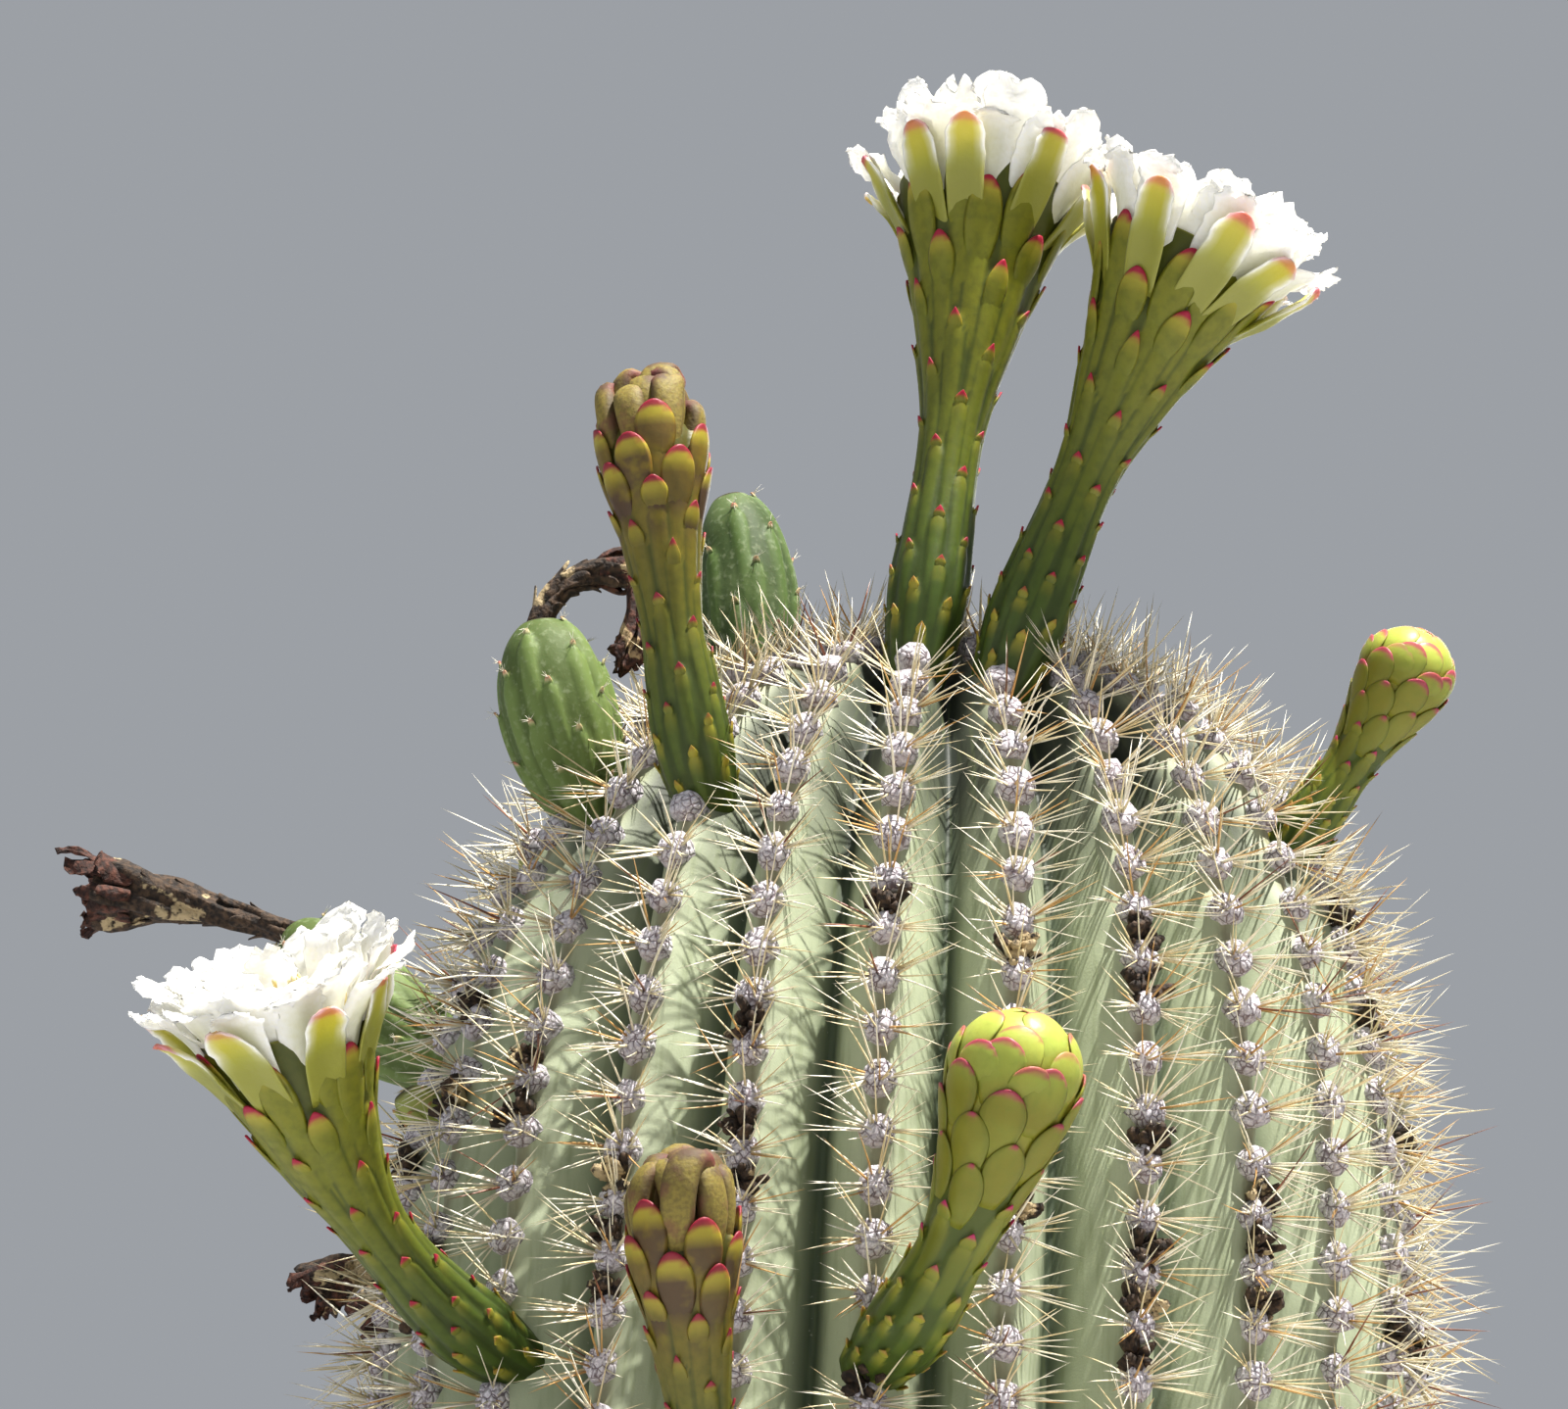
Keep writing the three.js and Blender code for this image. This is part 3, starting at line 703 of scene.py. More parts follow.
def skin_points(across, rib, valley, along):
    """The skin: the outline sunk by depth times valley^1.65, swollen at the areoles, with low waves."""
    radius = stem_radius(along)
    depth = RIB_DEPTH * (radius / STEM_RADIUS) ** RIB_SHALLOWING
    near = areole_nearness(rib % RIB_COUNT, along)
    crest_mm = np.abs(across - rib) * np.radians(RIB_PITCH) * radius
    round_areole = 0.9 * near * np.exp(-((crest_mm / 5.5) ** 2))
    swell = round_areole - 0.5 * (1 - near) * np.exp(-((crest_mm / 1.8) ** 2))
    swell = swell * ramp(radius, 4, 20) * ramp(along, 0, 4)
    azimuth = FIRST_RIB_AZIMUTH + across * RIB_PITCH
    azimuth = azimuth + rib_wander(across, along) * (1 - valley) + 0 * along
    points = stem_point(azimuth, along + 0 * azimuth, 1.25 * depth * valley**1.65 - swell)
    waves = 0.5 * rough(points, 31, 3) + 0.16 * rough(points, 7, 4)
    outward = unit(points * [1, 1, 0] + 1e-9)
    waves = waves * ramp(along, 1, 8) * ramp(radius, 4, 20)
    points = points + outward * waves[..., None]
    worn = np.exp(-((crest_mm / 1.9) ** 2)) * (1 - 0.4 * near) * ramp(radius, 8, 30)
    return points, worn


print("points of the skin's grid:", SKIN_ROWS + TIP_ROWS, "x", RIB_COUNT * SKIN_COLUMNS)

# %% [markdown]
# ## The flat cut, and a map for the streaks
#
# The grid's first ring is the rim of the cut, so the cut is that ring drawn in step by step, and both are
# one closed tube. The streaks need a map that runs along the ribs, so it is unrolled from the grid's own
# rows and columns.

# %% The cut and the skin's map
CUT_RINGS = 14
STRAND_SHARE = 0.5  # the strands' ring, as a share of the way to the rind


def cut_face(rim, across):
    """The flat cut: the rim drawn in ring by ring, raised to 0.5 mm at each rib's woody strand."""
    share = (1 - (np.arange(1, CUT_RINGS + 1) / CUT_RINGS)[::-1]) + 1 / CUT_RINGS * 0.15
    face = rim[None] * share[:, None, None]
    in_ring = np.exp(-(((share - STRAND_SHARE) / 0.035) ** 2))[:, None]
    strand = in_ring * ramp(np.cos(2 * np.pi * across), 0.2, 0.8)
    face[..., 2] = 0.5 * strand
    return face, share, strand


def lay_skin_map(piece, points, rings, sides):
    """A map in metres for the streaks: round the stem by its turn, along it by its row."""
    mesh = piece.data
    corner = np.empty(len(mesh.loops), np.int32)
    mesh.loops.foreach_get("vertex_index", corner)
    starts = np.empty(len(mesh.polygons), np.int32)
    mesh.polygons.foreach_get("loop_start", starts)
    row, column = np.divmod(np.clip(corner - 1, 0, rings * sides - 1), sides)
    steps = np.linalg.norm(np.diff(points[1:-1].reshape(rings, sides, 3), axis=0), axis=2).mean(axis=1)
    along = np.concatenate([[0], np.cumsum(steps)])[row] * MM
    span = np.maximum.reduceat(column, starts) - np.minimum.reduceat(column, starts)
    wraps = np.repeat(span > sides / 2, np.diff(np.append(starts, len(corner))))
    column = np.where(wraps & (column < sides / 2), column + sides, column)
    turn = column / sides * 2 * np.pi * STEM_RADIUS * MM
    layer = mesh.uv_layers.new(name="Skin")
    layer.data.foreach_set("uv", np.stack([turn, along], -1).astype(np.float32).ravel())


def make_stem():
    """The skin and the cut as one closed tube, the cut's faces in their own finish."""
    across, rib, valley, along = skin_grid()
    points, worn = skin_points(across, rib, valley, along)
    face, share, strand = cut_face(points[0], across[0])
    grid = np.concatenate([face, points])
    rings, sides = grid.shape[:2]
    whole = with_poles(grid[None], np.zeros((1, 3)), np.array([[LEAN * STEM_HEIGHT, 0, STEM_HEIGHT]]))
    flat = np.zeros((CUT_RINGS, sides))
    marks = {
        "valley": np.concatenate([flat, valley + 0 * along]),
        "crest_line": np.concatenate([flat, worn]),
        # Painted shade: the mark that darkens the crown's valleys rises from 178 mm to 228 mm.
        "young": np.concatenate([flat, ramp(points[..., 2], 178, 228)]),
        "ring": np.concatenate([flat + share[:, None], np.ones_like(worn)]),
        "bundle": np.concatenate([strand, np.zeros_like(worn)]),
    }
    stem = Mould()
    stem.add(whole, rings, sides, **marks)
    under = np.repeat(np.arange(rings - 1) < CUT_RINGS, sides).astype(int)
    piece = stem.make("stem_skin", [SKIN, CUT], "stem", ["stem"], under)
    lay_skin_map(piece, whole[0], rings, sides)


make_stem()

# %% [markdown]
# ## The wool of an areole
#
# An areole is a short oval pad of grey-white wool, parted by dark furrows where spines come through, with
# older brown wool at its lower end. From a step away it reads as colour and a bump, so no hair is
# modelled: fibres and furrows are in the finish.

# %% Finish of the felt
def felt_finish():
    """Pale fibres of two tones, dark furrows in patches, and brown where the wool is old."""
    finish = Finish("areole_felt", 0.95, Sheen_Weight=0.3)
    tufts = finish.cells(1.7)
    fibres = finish.noise(0.45, 3)
    patch = finish.noise(2.6, 2)
    colour = finish.coats(
        0xBDB4BF,
        (fibres.between(0.3, 0.7), 0xF1ECF1),
        (tufts.between(0.13, 0.02) * patch.between(0.3, 0.55) * 0.9, 0x54424A),
        (finish.mark("old") * (0.3 + 0.7 * fibres), 0x806650),
    )
    return finish.done(colour, tufts.between(0, 0.3) + 0.4 * fibres, 0.7, 0.6)


FELT = felt_finish()
print("finish:", FELT.name)

# %% [markdown]
# ## Felt cushions
#
# Each of the hundreds of cushions is a dome of a few dozen faces, swollen by chance so that no two are
# alike. Towards the tip they shrink and crowd into a woolly cap, which is filled with small ones on a
# golden spiral.

# %% Cushions
FELT_SIDES = 10
FELT_RINGS = [(0.92, -1.6), (1.04, 0.15), (0.95, 0.58), (0.68, 0.88), (0.34, 1.0)]  # of radius, of height
FELT_ROOT = 1.6  # a cushion's foot lies this far under its centre
CAP_CUSHIONS = 70
CAP_REACH = 15  # from the axis of the stem


def crowding(along):
    """Share of its full size that an areole has at an arc length: it shrinks as the stem narrows."""
    return np.clip(0.45 + stem_radius(along) / 75, 0, 1)


def cushions(centre, axes, wide, tall, high, chance):
    """Domes on the skin, each point swollen by chance, and a mark that is 1 where the wool is old."""
    normal, upward, sideways = axes
    count, turn = len(centre), circle(FELT_SIDES)
    share, lift = np.array(FELT_RINGS).T[..., None]
    swell = 1 + chance.uniform(-0.1, 0.1, (count, len(share), FELT_SIDES))
    swell = swell + 0.05 * np.cos(5 * turn + chance.uniform(0, 6, (count, 1, 1)))
    across = share * np.cos(turn) * swell * wide[:, None, None]
    up = share * np.sin(turn) * swell * tall[:, None, None]
    out = lift * high[:, None, None] * np.where(lift > 0.5, swell, 1)
    rings = (centre[:, None, None] + sideways[:, None, None] * across[..., None]
             + upward[:, None, None] * up[..., None] + normal[:, None, None] * out[..., None])
    top = centre + normal * (1.02 * high)[:, None]
    old = np.clip(-np.sin(turn) - 0.45, 0, 1) * np.where(share > 0.8, 1.0, 0.15)
    return with_poles(rings, centre - normal * FELT_ROOT, top), old + np.zeros((count, 1, 1))


def make_felt():
    """A cushion on every areole, and the cap of small ones over the tip."""
    chance = np.random.default_rng(11)
    centre = stem_point(AREOLE_AZIMUTH, AREOLE_ALONG, -0.6)
    crowd = crowding(AREOLE_ALONG)
    wide = 3.7 * crowd * chance.uniform(0.88, 1.1, len(centre))
    tall = 3.9 * (0.6 + 0.4 * crowd) * chance.uniform(0.88, 1.1, len(centre))
    high = 2.8 * chance.uniform(0.8, 1.15, len(centre))
    felt = Mould()
    points, old = cushions(centre, crest_frame(AREOLE_AZIMUTH, AREOLE_ALONG), wide, tall, high, chance)
    felt.add(points, len(FELT_RINGS), FELT_SIDES, old=(old, 0.5, 0.0))
    number = np.arange(CAP_CUSHIONS)
    reach = CAP_REACH * np.sqrt((number + 0.5) / CAP_CUSHIONS)
    turn = np.degrees(number * GOLDEN_TURN)
    along = np.interp(-reach, -OUTLINE["r"], OUTLINE["along"])
    size = chance.uniform(1.5, 2.6, CAP_CUSHIONS)
    points, old = cushions(stem_point(turn, along, 1.0), crest_frame(turn, along),
                           size, size * 1.1, size * 1.5, chance)
    felt.add(points, len(FELT_RINGS), FELT_SIDES, old=(old * 0.6, 0.5, 0.1))
    felt.make("areole_felt", [FELT], "areole_felt")


make_felt()

# %% [markdown]
# ## The colours of the spines
#
# Young spines are cream to amber, and the stout ones in the middle may be russet. On such thin things a
# pattern would be lost, so each of four colours is a piece of its own, and spines are dealt to them by
# chance.

# %% Finishes of the spines
def spine_finish(name, light, dark):
    """A smooth, slightly shiny finish of two near tones, changing every few millimetres."""
    finish = Finish(name, 0.42)
    colour = finish.coats(light, (finish.noise(6, 2).between(0.35, 0.65), dark))
    return finish.done(colour, finish.noise(0.6, 2), 0.2, 0.1)


SPINE_FINISHES = [
    spine_finish("spine_cream", 0xFBF5E4, 0xEFE4C6),
    spine_finish("spine_straw", 0xEFE2BE, 0xE2CD9C),
    spine_finish("spine_amber", 0xD6AC70, 0xBE8C4A),
    spine_finish("spine_russet", 0x93573A, 0x683C28),
]
print("spine finishes:", len(SPINE_FINISHES))

# %% [markdown]
# ## Spines
#
# A spine is a straight needle with a slight sag. Three sides are enough for something half a millimetre
# thick, and smooth shading rounds them. Where a bloom stands, the areole has lost its spines.

# %% Tapers
SPINE_SIDES = 3
SPINE_SHARES = np.array([0.0, 0.35, 0.72])  # the rings of a taper, as shares of its length
BLOOM_CLEARANCE = 8.5  # an areole nearer to a bloom's seat has lost its spines


def bloom_distance(centre):
    """Distance of each areole from the nearest seat of a bloom."""
    rib, height = np.array([place[:2] for place in SEATED], float).T
    seats = stem_point(FIRST_RIB_AZIMUTH + rib * RIB_PITCH, along_at(height))
    return np.linalg.norm(centre[:, None] - seats, axis=2).min(axis=1)


def tapers(base, direction, sag, length, girth):
    """Thin tapers: a straight line, plus a sag that grows with the square of the distance, to a point."""
    reach = length[:, None] * SPINE_SHARES
    centre = base[:, None] + direction[:, None] * reach[..., None]
    centre = centre + sag[:, None] * SPINE_SHARES[None, :, None] ** 2
    upright = np.abs(direction[:, 2:]) > 0.9
    pair = square_pair(direction, np.where(upright, [1.0, 0, 0], [0, 0, 1.0]))
    radius = girth[:, None] * (1 - 0.7 * SPINE_SHARES)
    rings = rings_round(centre, pair, radius[..., None], SPINE_SIDES)
    return with_poles(rings, base, base + direction * length[:, None] + sag)


print("a spine has", sum(len(faces) for faces in tube_faces(len(SPINE_SHARES), SPINE_SIDES)), "faces")

# %% [markdown]
# ## Fans of spines
#
# Each areole has a fan of spines that spread to both sides and a few stouter ones that stand out in the
# middle. On the crown there are fewer and they point up. Those that would reach below the cut are left
# out.

# %% Spines
FAN_SPINES = 18
MIDDLE_SPINES = 6
FAN_DEAL = [0.6, 0.92, 0.993]  # running shares of cream, straw and amber; the rest is russet
MIDDLE_DEAL = [0.42, 0.8, 0.95]
LOWEST_TIP = 0.8


def fan_spines(chance):
    """Base, direction, sag, length, girth and whether it is a middle one, of every spine."""
    centre = stem_point(AREOLE_AZIMUTH, AREOLE_ALONG, -1.4)
    clear = bloom_distance(centre) > BLOOM_CLEARANCE
    centre = centre[clear]
    normal, upward, sideways = (axis[clear] for axis in crest_frame(AREOLE_AZIMUTH, AREOLE_ALONG))
    crown = 1 - ramp(stem_radius(AREOLE_ALONG[clear]), 30, 95)
    fan, middle = (len(centre), FAN_SPINES), (len(centre), MIDDLE_SPINES)
    side = np.where(np.arange(FAN_SPINES) % 2, 0.0, np.pi)
    turn = side + chance.normal(0, 0.42, fan) - 0.12 * np.cos(side)
    turn = np.where(chance.uniform(0, 1, fan) < 0.14, chance.uniform(0, 2 * np.pi, fan), turn)
    rise = chance.uniform(0.25, 0.9, fan)
    turn = np.concatenate([turn, chance.uniform(0, 2 * np.pi, middle)], axis=1)
    rise = np.concatenate([rise, chance.uniform(0.8, 1.5, middle)], axis=1)
    rise = rise + (1.2 - rise) * 0.2 * crown[:, None]
    every = turn.shape
    central = np.broadcast_to(np.arange(every[1]) >= FAN_SPINES, every)
    length = np.where(central, chance.uniform(12, 21, every), chance.uniform(8.5, 16, every))
    length = length * (1 - 0.12 * crown[:, None])
    flat = along_skin(turn, upward, sideways)
    direction = unit(np.cos(rise)[..., None] * flat + np.sin(rise)[..., None] * normal[:, None]
                     + 0.15 * crown[:, None, None] * np.array([0, 0, 1.0]))
    girth = np.where(central, chance.uniform(0.27, 0.37, every), chance.uniform(0.2, 0.3, every))
    seat = np.where(central, 1.2, 2.6)[..., None] * crowding(AREOLE_ALONG[clear])[:, None, None]
    base = centre[:, None] + flat * seat
    base = base + normal[:, None] * chance.uniform(0.2, 1.4, every)[..., None]
    sag = chance.normal(0, 0.6, (*every, 3))
    kept = chance.uniform(0, 1, every) < 1 - 0.4 * crown[:, None]
    kept = kept & ((base + direction * length[..., None] + sag)[..., 2] > LOWEST_TIP)
    return [part[kept] for part in (base, direction, sag, length, girth, central)]


def make_spines():
    """All spines as four pieces, one of each colour; returns how many there are."""
    chance = np.random.default_rng(23)
    *shape, central = fan_spines(chance)
    dealt = chance.uniform(0, 1, len(central))
    kinds = np.where(central, np.searchsorted(MIDDLE_DEAL, dealt), np.searchsorted(FAN_DEAL, dealt))
    for kind, finish in enumerate(SPINE_FINISHES):
        spines = Mould()
        spines.add(tapers(*(part[kinds == kind] for part in shape)), len(SPINE_SHARES), SPINE_SIDES)
        spines.make(finish.name, [finish], "spine")
    return len(central)


print("spines:", make_spines())

# %% [markdown]
# ## Ridges in the relief of a body
#
# A flower's tube is clad in scales whose bodies run down it as low ridges, and only their tips are free.
# Long tubes sunk in a body would cut through each other, so the ridges are relief: a height worked out
# over the body's grid for all of them at once.

# %% Lathes and ridges
def radius_of(radii, girth=1.0):
    """The body's radius at a share of its length, read off a smooth line through the given radii."""
    line = smooth_line([(share, radius) for radius, share in radii], 200)
    return lambda share: girth * np.interp(share, line[:, 0], line[:, 1])


def lathe_grid(radii, girth, rings, sides):
    """Radius, share of the length and turn over a lathe's grid, smoothed through (radius, share) pairs."""
    profile = smooth_line([(radius * girth, share) for radius, share in radii], rings)
    return profile[:, :1], profile[:, 1:], circle(sides)[None]


def lathe(growth, radius, share, turn):
    """A closed body about a growth line, at a grid of radii, shares of the length and turns."""
    grid = growth.place(radius, share * growth.length, turn)
    start, end = (growth.place(0.0, share[k, 0] * growth.length, 0.0) for k in (0, -1))
    return with_poles(grid[None], start[None], end[None])


def ridges(growth, body, tips, share, turn):
    """Height of the ridges over a grid, distance below the ridge's tip, share of the way to its side.

    A ridge is a flat arch across. It is widest a little under its tip, narrows to half of that at its foot,
    and its height falls evenly from the tip to the foot. Where ridges cross, the highest wins.
    """
    tip_share, tip_turn, half, length, high = tips
    below = (tip_share - share[..., None]) * growth.length
    aside = ((turn[..., None] - tip_turn + np.pi) % (2 * np.pi) - np.pi) * body(share)[..., None]
    down = np.clip(below / length, 0, 1)
    width = half * (1 - 0.45 * down) * np.clip(below / (1.5 * half), 1e-4, 1) ** 0.65
    arch = np.clip(1 - (aside / width) ** 2, 0, 1) ** 0.75
    each = high * (1 - down) ** 0.6 * ramp(below, -0.3, 0.6) * arch
    best = each.argmax(axis=-1)[..., None]
    parts = each, below + 0 * each, np.clip(np.abs(aside / width), 0, 1)
    return [np.take_along_axis(part, best, -1)[..., 0] for part in parts]


print("a body of 184 rings of 100 has", len(tube_faces(184, 100)[0]), "quads")

# %% [markdown]
# ## The free tips of scales
#
# Each free tip is a small flattened tube laid on its ridge. It hugs the body because it is bent across by
# an angle, not moved sideways, and it stands more proud the nearer its point.

# %% Scales
def scales(growth, radius_at, tip, turn, length, half, thick, proud, foot, widest, bluntness,
           rows=8, sides=8, seat=0.0, point=0.5):
    """Scales on a body, and the share of its length at each ring of each.

    Along s the distance is tip - length (1 - s). Across, the offset is an arc of the body. A scale starts
    sunk in the body, comes up to its seat by (1 - s)^2 and stands proud by s^2.2.
    """
    s = row_places(rows, 1.7)
    tip, turn, length, half, thick, proud, seat, bluntness, point = columns(
        len(tip), tip, turn, length, half, thick, proud, seat, bluntness, point)
    distance = tip - length * (1 - s)
    body = radius_at(distance / growth.length)
    across = (half * leaf_width(s, foot, widest, bluntness, point))[..., None] * np.cos(circle(sides))
    middle = body + seat - (0.45 * thick + seat) * (1 - s) ** 2 + proud * s**2.2
    radius = middle[..., None] + (thick * (0.55 - 0.25 * s))[..., None] * np.sin(circle(sides))
    angle = turn[..., None] + across / np.maximum(body, 2.5)[..., None]
    rings = growth.place(radius, distance[..., None], angle)
    start = growth.place(body[:, 0] - thick[:, 0], distance[:, 0], turn[:, 0])
    end = growth.place(body[:, -1] + seat[:, 0] + proud[:, 0], tip[:, 0], turn[:, 0])
    return with_poles(rings, start, end), np.broadcast_to(s, distance.shape)


def spiral(count, start, chance):
    """Turns of a spiral with the golden angle, each strayed a little."""
    return start + GOLDEN_TURN * np.arange(count) + chance.uniform(-0.09, 0.09, count)


print("rings of a scale, as shares of its length:", row_places(8, 1.7).round(2))

# %% [markdown]
# ## Petals on free lines
#
# A petal is the same flattened tube on a free line: a cubic curve out of the rim, given as radius and
# distance along the growth line. Its edges are cupped, ruffled and nicked by chance. Front and back of an
# edge share one draw, so that a ruffle bends the petal.

# %% Petals
def curve_points(lines, s):
    """Points and slopes of cubic Bezier curves: lines is curves x 4 x 2, s the places along them."""
    s = s[None, :, None]
    a, b, c, d = (lines[:, k][:, None] for k in range(4))
    points = (1 - s) ** 3 * a + 3 * s * (1 - s) ** 2 * b + 3 * s**2 * (1 - s) * c + s**3 * d
    slopes = 3 * (1 - s) ** 2 * (b - a) + 6 * s * (1 - s) * (c - b) + 3 * s**2 * (d - c)
    return points, unit(slopes)


def strayed(count, points, first, spread, chance):
    """Control points of count petals: four given ones, of which those from the first one on stray."""
    lines = np.tile(np.array(points, float), (count, 1, 1))
    lines[:, first:] += chance.normal(0, spread, (count, 4 - first, 2))
    return lines


def petals(growth, turn, lines, half, thick, chance, cup=0.0, ruffle=0.0, nick=0.0, foot=0.6, widest=0.75,
           bluntness=2.4, rows=14, sides=14, thinning=0.55, arch=0.0, sway=0.0, notch=0.0, past=None):
    """Flattened tubes on lines of (radius, distance past the growth line's end or past a given place).

    Their edges lift by cup and wave by ruffle, and the outline is nicked by chance. Arch lowers the sides by
    arch times the square of the offset, sway carries the end sideways by the square of the way along, and
    notch draws the middle of the end back.
    """
    lines = lines + [0, growth.length if past is None else past]
    s, t = row_places(rows, 1.6), circle(sides)
    line, slope = curve_points(lines, s)
    inward = np.stack([-slope[..., 1], slope[..., 0]], -1)
    count = len(lines)
    turn, half, cup, ruffle, sway, bluntness, notch = (
        value[..., None] for value in columns(count, turn, half, cup, ruffle, sway, bluntness, notch))
    far = s[None, :, None]
    edge = np.abs(np.cos(t)) ** 1.5
    nicks = chance.uniform(-1, 1, (count, rows, 2)).repeat(sides // 2, axis=2)
    ragged = 1 + nick * nicks * ramp(far, 0.4, 0.8)
    across = half * leaf_width(far, foot, widest, bluntness) * np.cos(t) * np.roll(ragged, sides // 4, 2)
    phase = chance.uniform(0, 6, (count, 1, 2)).repeat(sides // 2, axis=2)
    wave = np.sin(chance.uniform(9, 14, (count, 1, 1)) * far + np.roll(phase, sides // 4, 2))
    crimp = chance.normal(0, 0.35, (count, rows, sides)) * ruffle * ramp(far, 0.55, 0.95)
    lift = thick * 0.5 * (1 - thinning * far) * np.sin(t) - arch * across**2
    lift = lift + cup * edge * np.sin(np.pi * np.clip(far + 0.1, 0, 1)) + ruffle * edge * wave * far
    lift = lift + (crimp + crimp[..., (sides // 2 - np.arange(sides)) % sides]) * 0.5
    back = notch * (1 - edge) * ramp(far, 0.7, 1)
    radius = line[..., 0:1] + lift * inward[..., 0:1] - back * slope[..., 0:1]
    distance = line[..., 1:2] + lift * inward[..., 1:2] - back * slope[..., 1:2]
    across = across + sway * far**2
    rings = growth.place(np.hypot(radius, across), distance, turn + np.arctan2(across, radius))
    start = growth.place(line[:, 0, 0], line[:, 0, 1], turn[:, 0, 0])
    last = lines[:, 3] - notch[:, 0] * slope[:, -1]
    end = growth.place(np.hypot(last[:, 0], sway[:, 0, 0]), last[:, 1],
                       turn[:, 0, 0] + np.arctan2(sway[:, 0, 0], last[:, 0]))
    return with_poles(rings, start, end), np.broadcast_to(s, (count, rows))


print("a petal has", len(tube_faces(16, 16)[0]), "quads")

# %% [markdown]
# ## Finishes of the blooms
#
# The green parts share one finish: olive below, yellow-green towards the flower, with painted shade in the
# grooves, and bruised in patches. Marks add the yellow or crimson of a scale's tip. Petals are waxy white,
# let light through and give off a little painted glow, with a yellow-green stripe on the outer ones.

# %% Green of tubes, petals and stamens
def green_finish(name, low, high, tip, bruise=0x5C4A32):
    """Green that lightens as the bloom rises, with painted shade in the grooves, bruises, gold and a blush
    at the tips.
    """
    finish = Finish(name, 0.42, Subsurface_Weight=0.08, Subsurface_Scale=0.003, Specular_IOR_Level=0.3)
    grain = finish.noise(2.2, 3)
    patch = finish.noise(7, 3)
    colour = finish.coats(
        low,
        (finish.mark("rise").between(0.1, 0.95), high),
        (grain.between(0.35, 0.75) * 0.3, 0x2F3C16),
        # Painted shade: the groove mark darkens the grooves between scales.
        (finish.mark("groove") * 0.7, 0x2F3C16),
        (finish.mark("bruise") * patch.between(0.35, 0.5), bruise),
        (finish.mark("gold"), 0xB0A236),
        (finish.mark("blush"), tip),
    )
    return finish.done(colour, grain, 0.25, 0.4, 0.36 + 0.2 * grain)


def petal_finish():
    """Waxy white with faint veins; a little light of its own stands for what passes through it."""
    finish = Finish("waxy_petal", 0.4, Subsurface_Weight=0.3, Subsurface_Scale=0.004,
                    Subsurface_Radius=(1.0, 0.95, 0.8), Emission_Strength=0.07)
    veins = finish.noise(1.2, 3)
    colour = finish.coats(
        0xFFFEFA,
        (veins.between(0.3, 0.8), 0xF8F6EC),
        (finish.mark("stripe"), 0xA0A02E),
        (finish.mark("olive"), 0x8A8A32),
        (finish.mark("gold"), 0xD2C038),
        (finish.mark("blush"), 0xBE2450),
    )
    # Painted glow: the petal's colour is also the colour of the light that it gives off.
    finish.link(colour, "Emission Color")
    return finish.done(colour, veins, 0.25, 0.4)


TUBE_GREEN = green_finish("tube_green", 0x43561E, 0x7A7A1E, 0xA01C38)
PETAL = petal_finish()
STAMEN = plain_finish("stamen_cream", 0xF2E9BE, 0xE2CE8C, 1.5, 0.6)
print("finishes:", TUBE_GREEN.name, PETAL.name, STAMEN.name)

# %% [markdown]
# ## The scaly tube of a flower
#
# A saguaro flower opens at night on a stout tube. Small yellow-tipped scales sit low on the ovary; higher up
# they grow into long crimson-tipped ones, then into broad tongues with pink margins. Belts of one spiral
# give them: within a belt each size runs evenly from its first value to its last.

# %% Scales of a tube
# Radii run from the seat to the end: radius, then the share of the length where the tube has it.
TUBE_RADII = [(6.2, 0), (8.4, 0.17), (7.6, 0.29), (6.4, 0.43), (6.9, 0.55), (10.2, 0.7), (14, 0.85),
              (17.8, 0.99)]
THROAT_RADII = [(17.3, 0.995), (13.0, 0.86), (8.6, 0.7), (5, 0.58), (1.2, 0.555)]
TUBE_OUTSIDE = TUBE_RADII + [(19.2, 1.025), (21.4, 1.06), (25, 1.1)]
# Each belt: scales, first and last share, half widths, ridge lengths, heights, tinted and free length.
FLOWER_BELTS = [
    (24, 0.07, 0.31, (2.1, 2.4), (13, 18), (0.7, 0.75), 1.0, 3.2),
    (15, 0.33, 0.58, (2.4, 2.8), (20, 28), (0.85, 0.95), 1.4, 3.6),
    (9, 0.61, 0.76, (2.9, 3.2), (28, 30), (1.0, 1.1), 1.7, 6),
    (9, 0.79, 0.9, (3.4, 3.8), (32, 32), (1.1, 1.1), 1.9, 13),
    (10, 0.95, 1.025, (4.0, 4.2), (36, 34), (1.1, 1.1), 1.9, 20),
]


def belt_values(belts, girth, chance):
    """Tip share, turn, half width, length, height, tint and free length of every scale, on one spiral."""
    parts = []
    for count, low, high, halves, lengths, heights, tint, free in belts:
        way = np.linspace(0, 1, count)
        share = np.interp(way, [0, 1], [low, high]) + chance.uniform(-0.006, 0.006, count)
        sizes = [np.interp(way, [0, 1], pair) * girth for pair in (halves, lengths, heights)]
        parts.append(np.stack([share, *sizes, np.full(count, tint * girth), np.full(count, free * girth)]))
    share, half, length, high, tint, free = np.concatenate(parts, axis=1)
    return share, spiral(len(share), chance.uniform(0, 6), chance), half, length, high, tint, free


print("scales of a flower's tube:", sum(belt[0] for belt in FLOWER_BELTS))

# %% [markdown]
# ## A body clad in scales
#
# Body and tips read the same belts, so each tip sits on its own ridge. How far a point is from its scale's
# tip says where the crimson ends, where the yellow begins and where a bruise may lie.

# %% A clad body
NEVER = 2.0  # a share that no bloom reaches
TIP_GRID = 12, 10


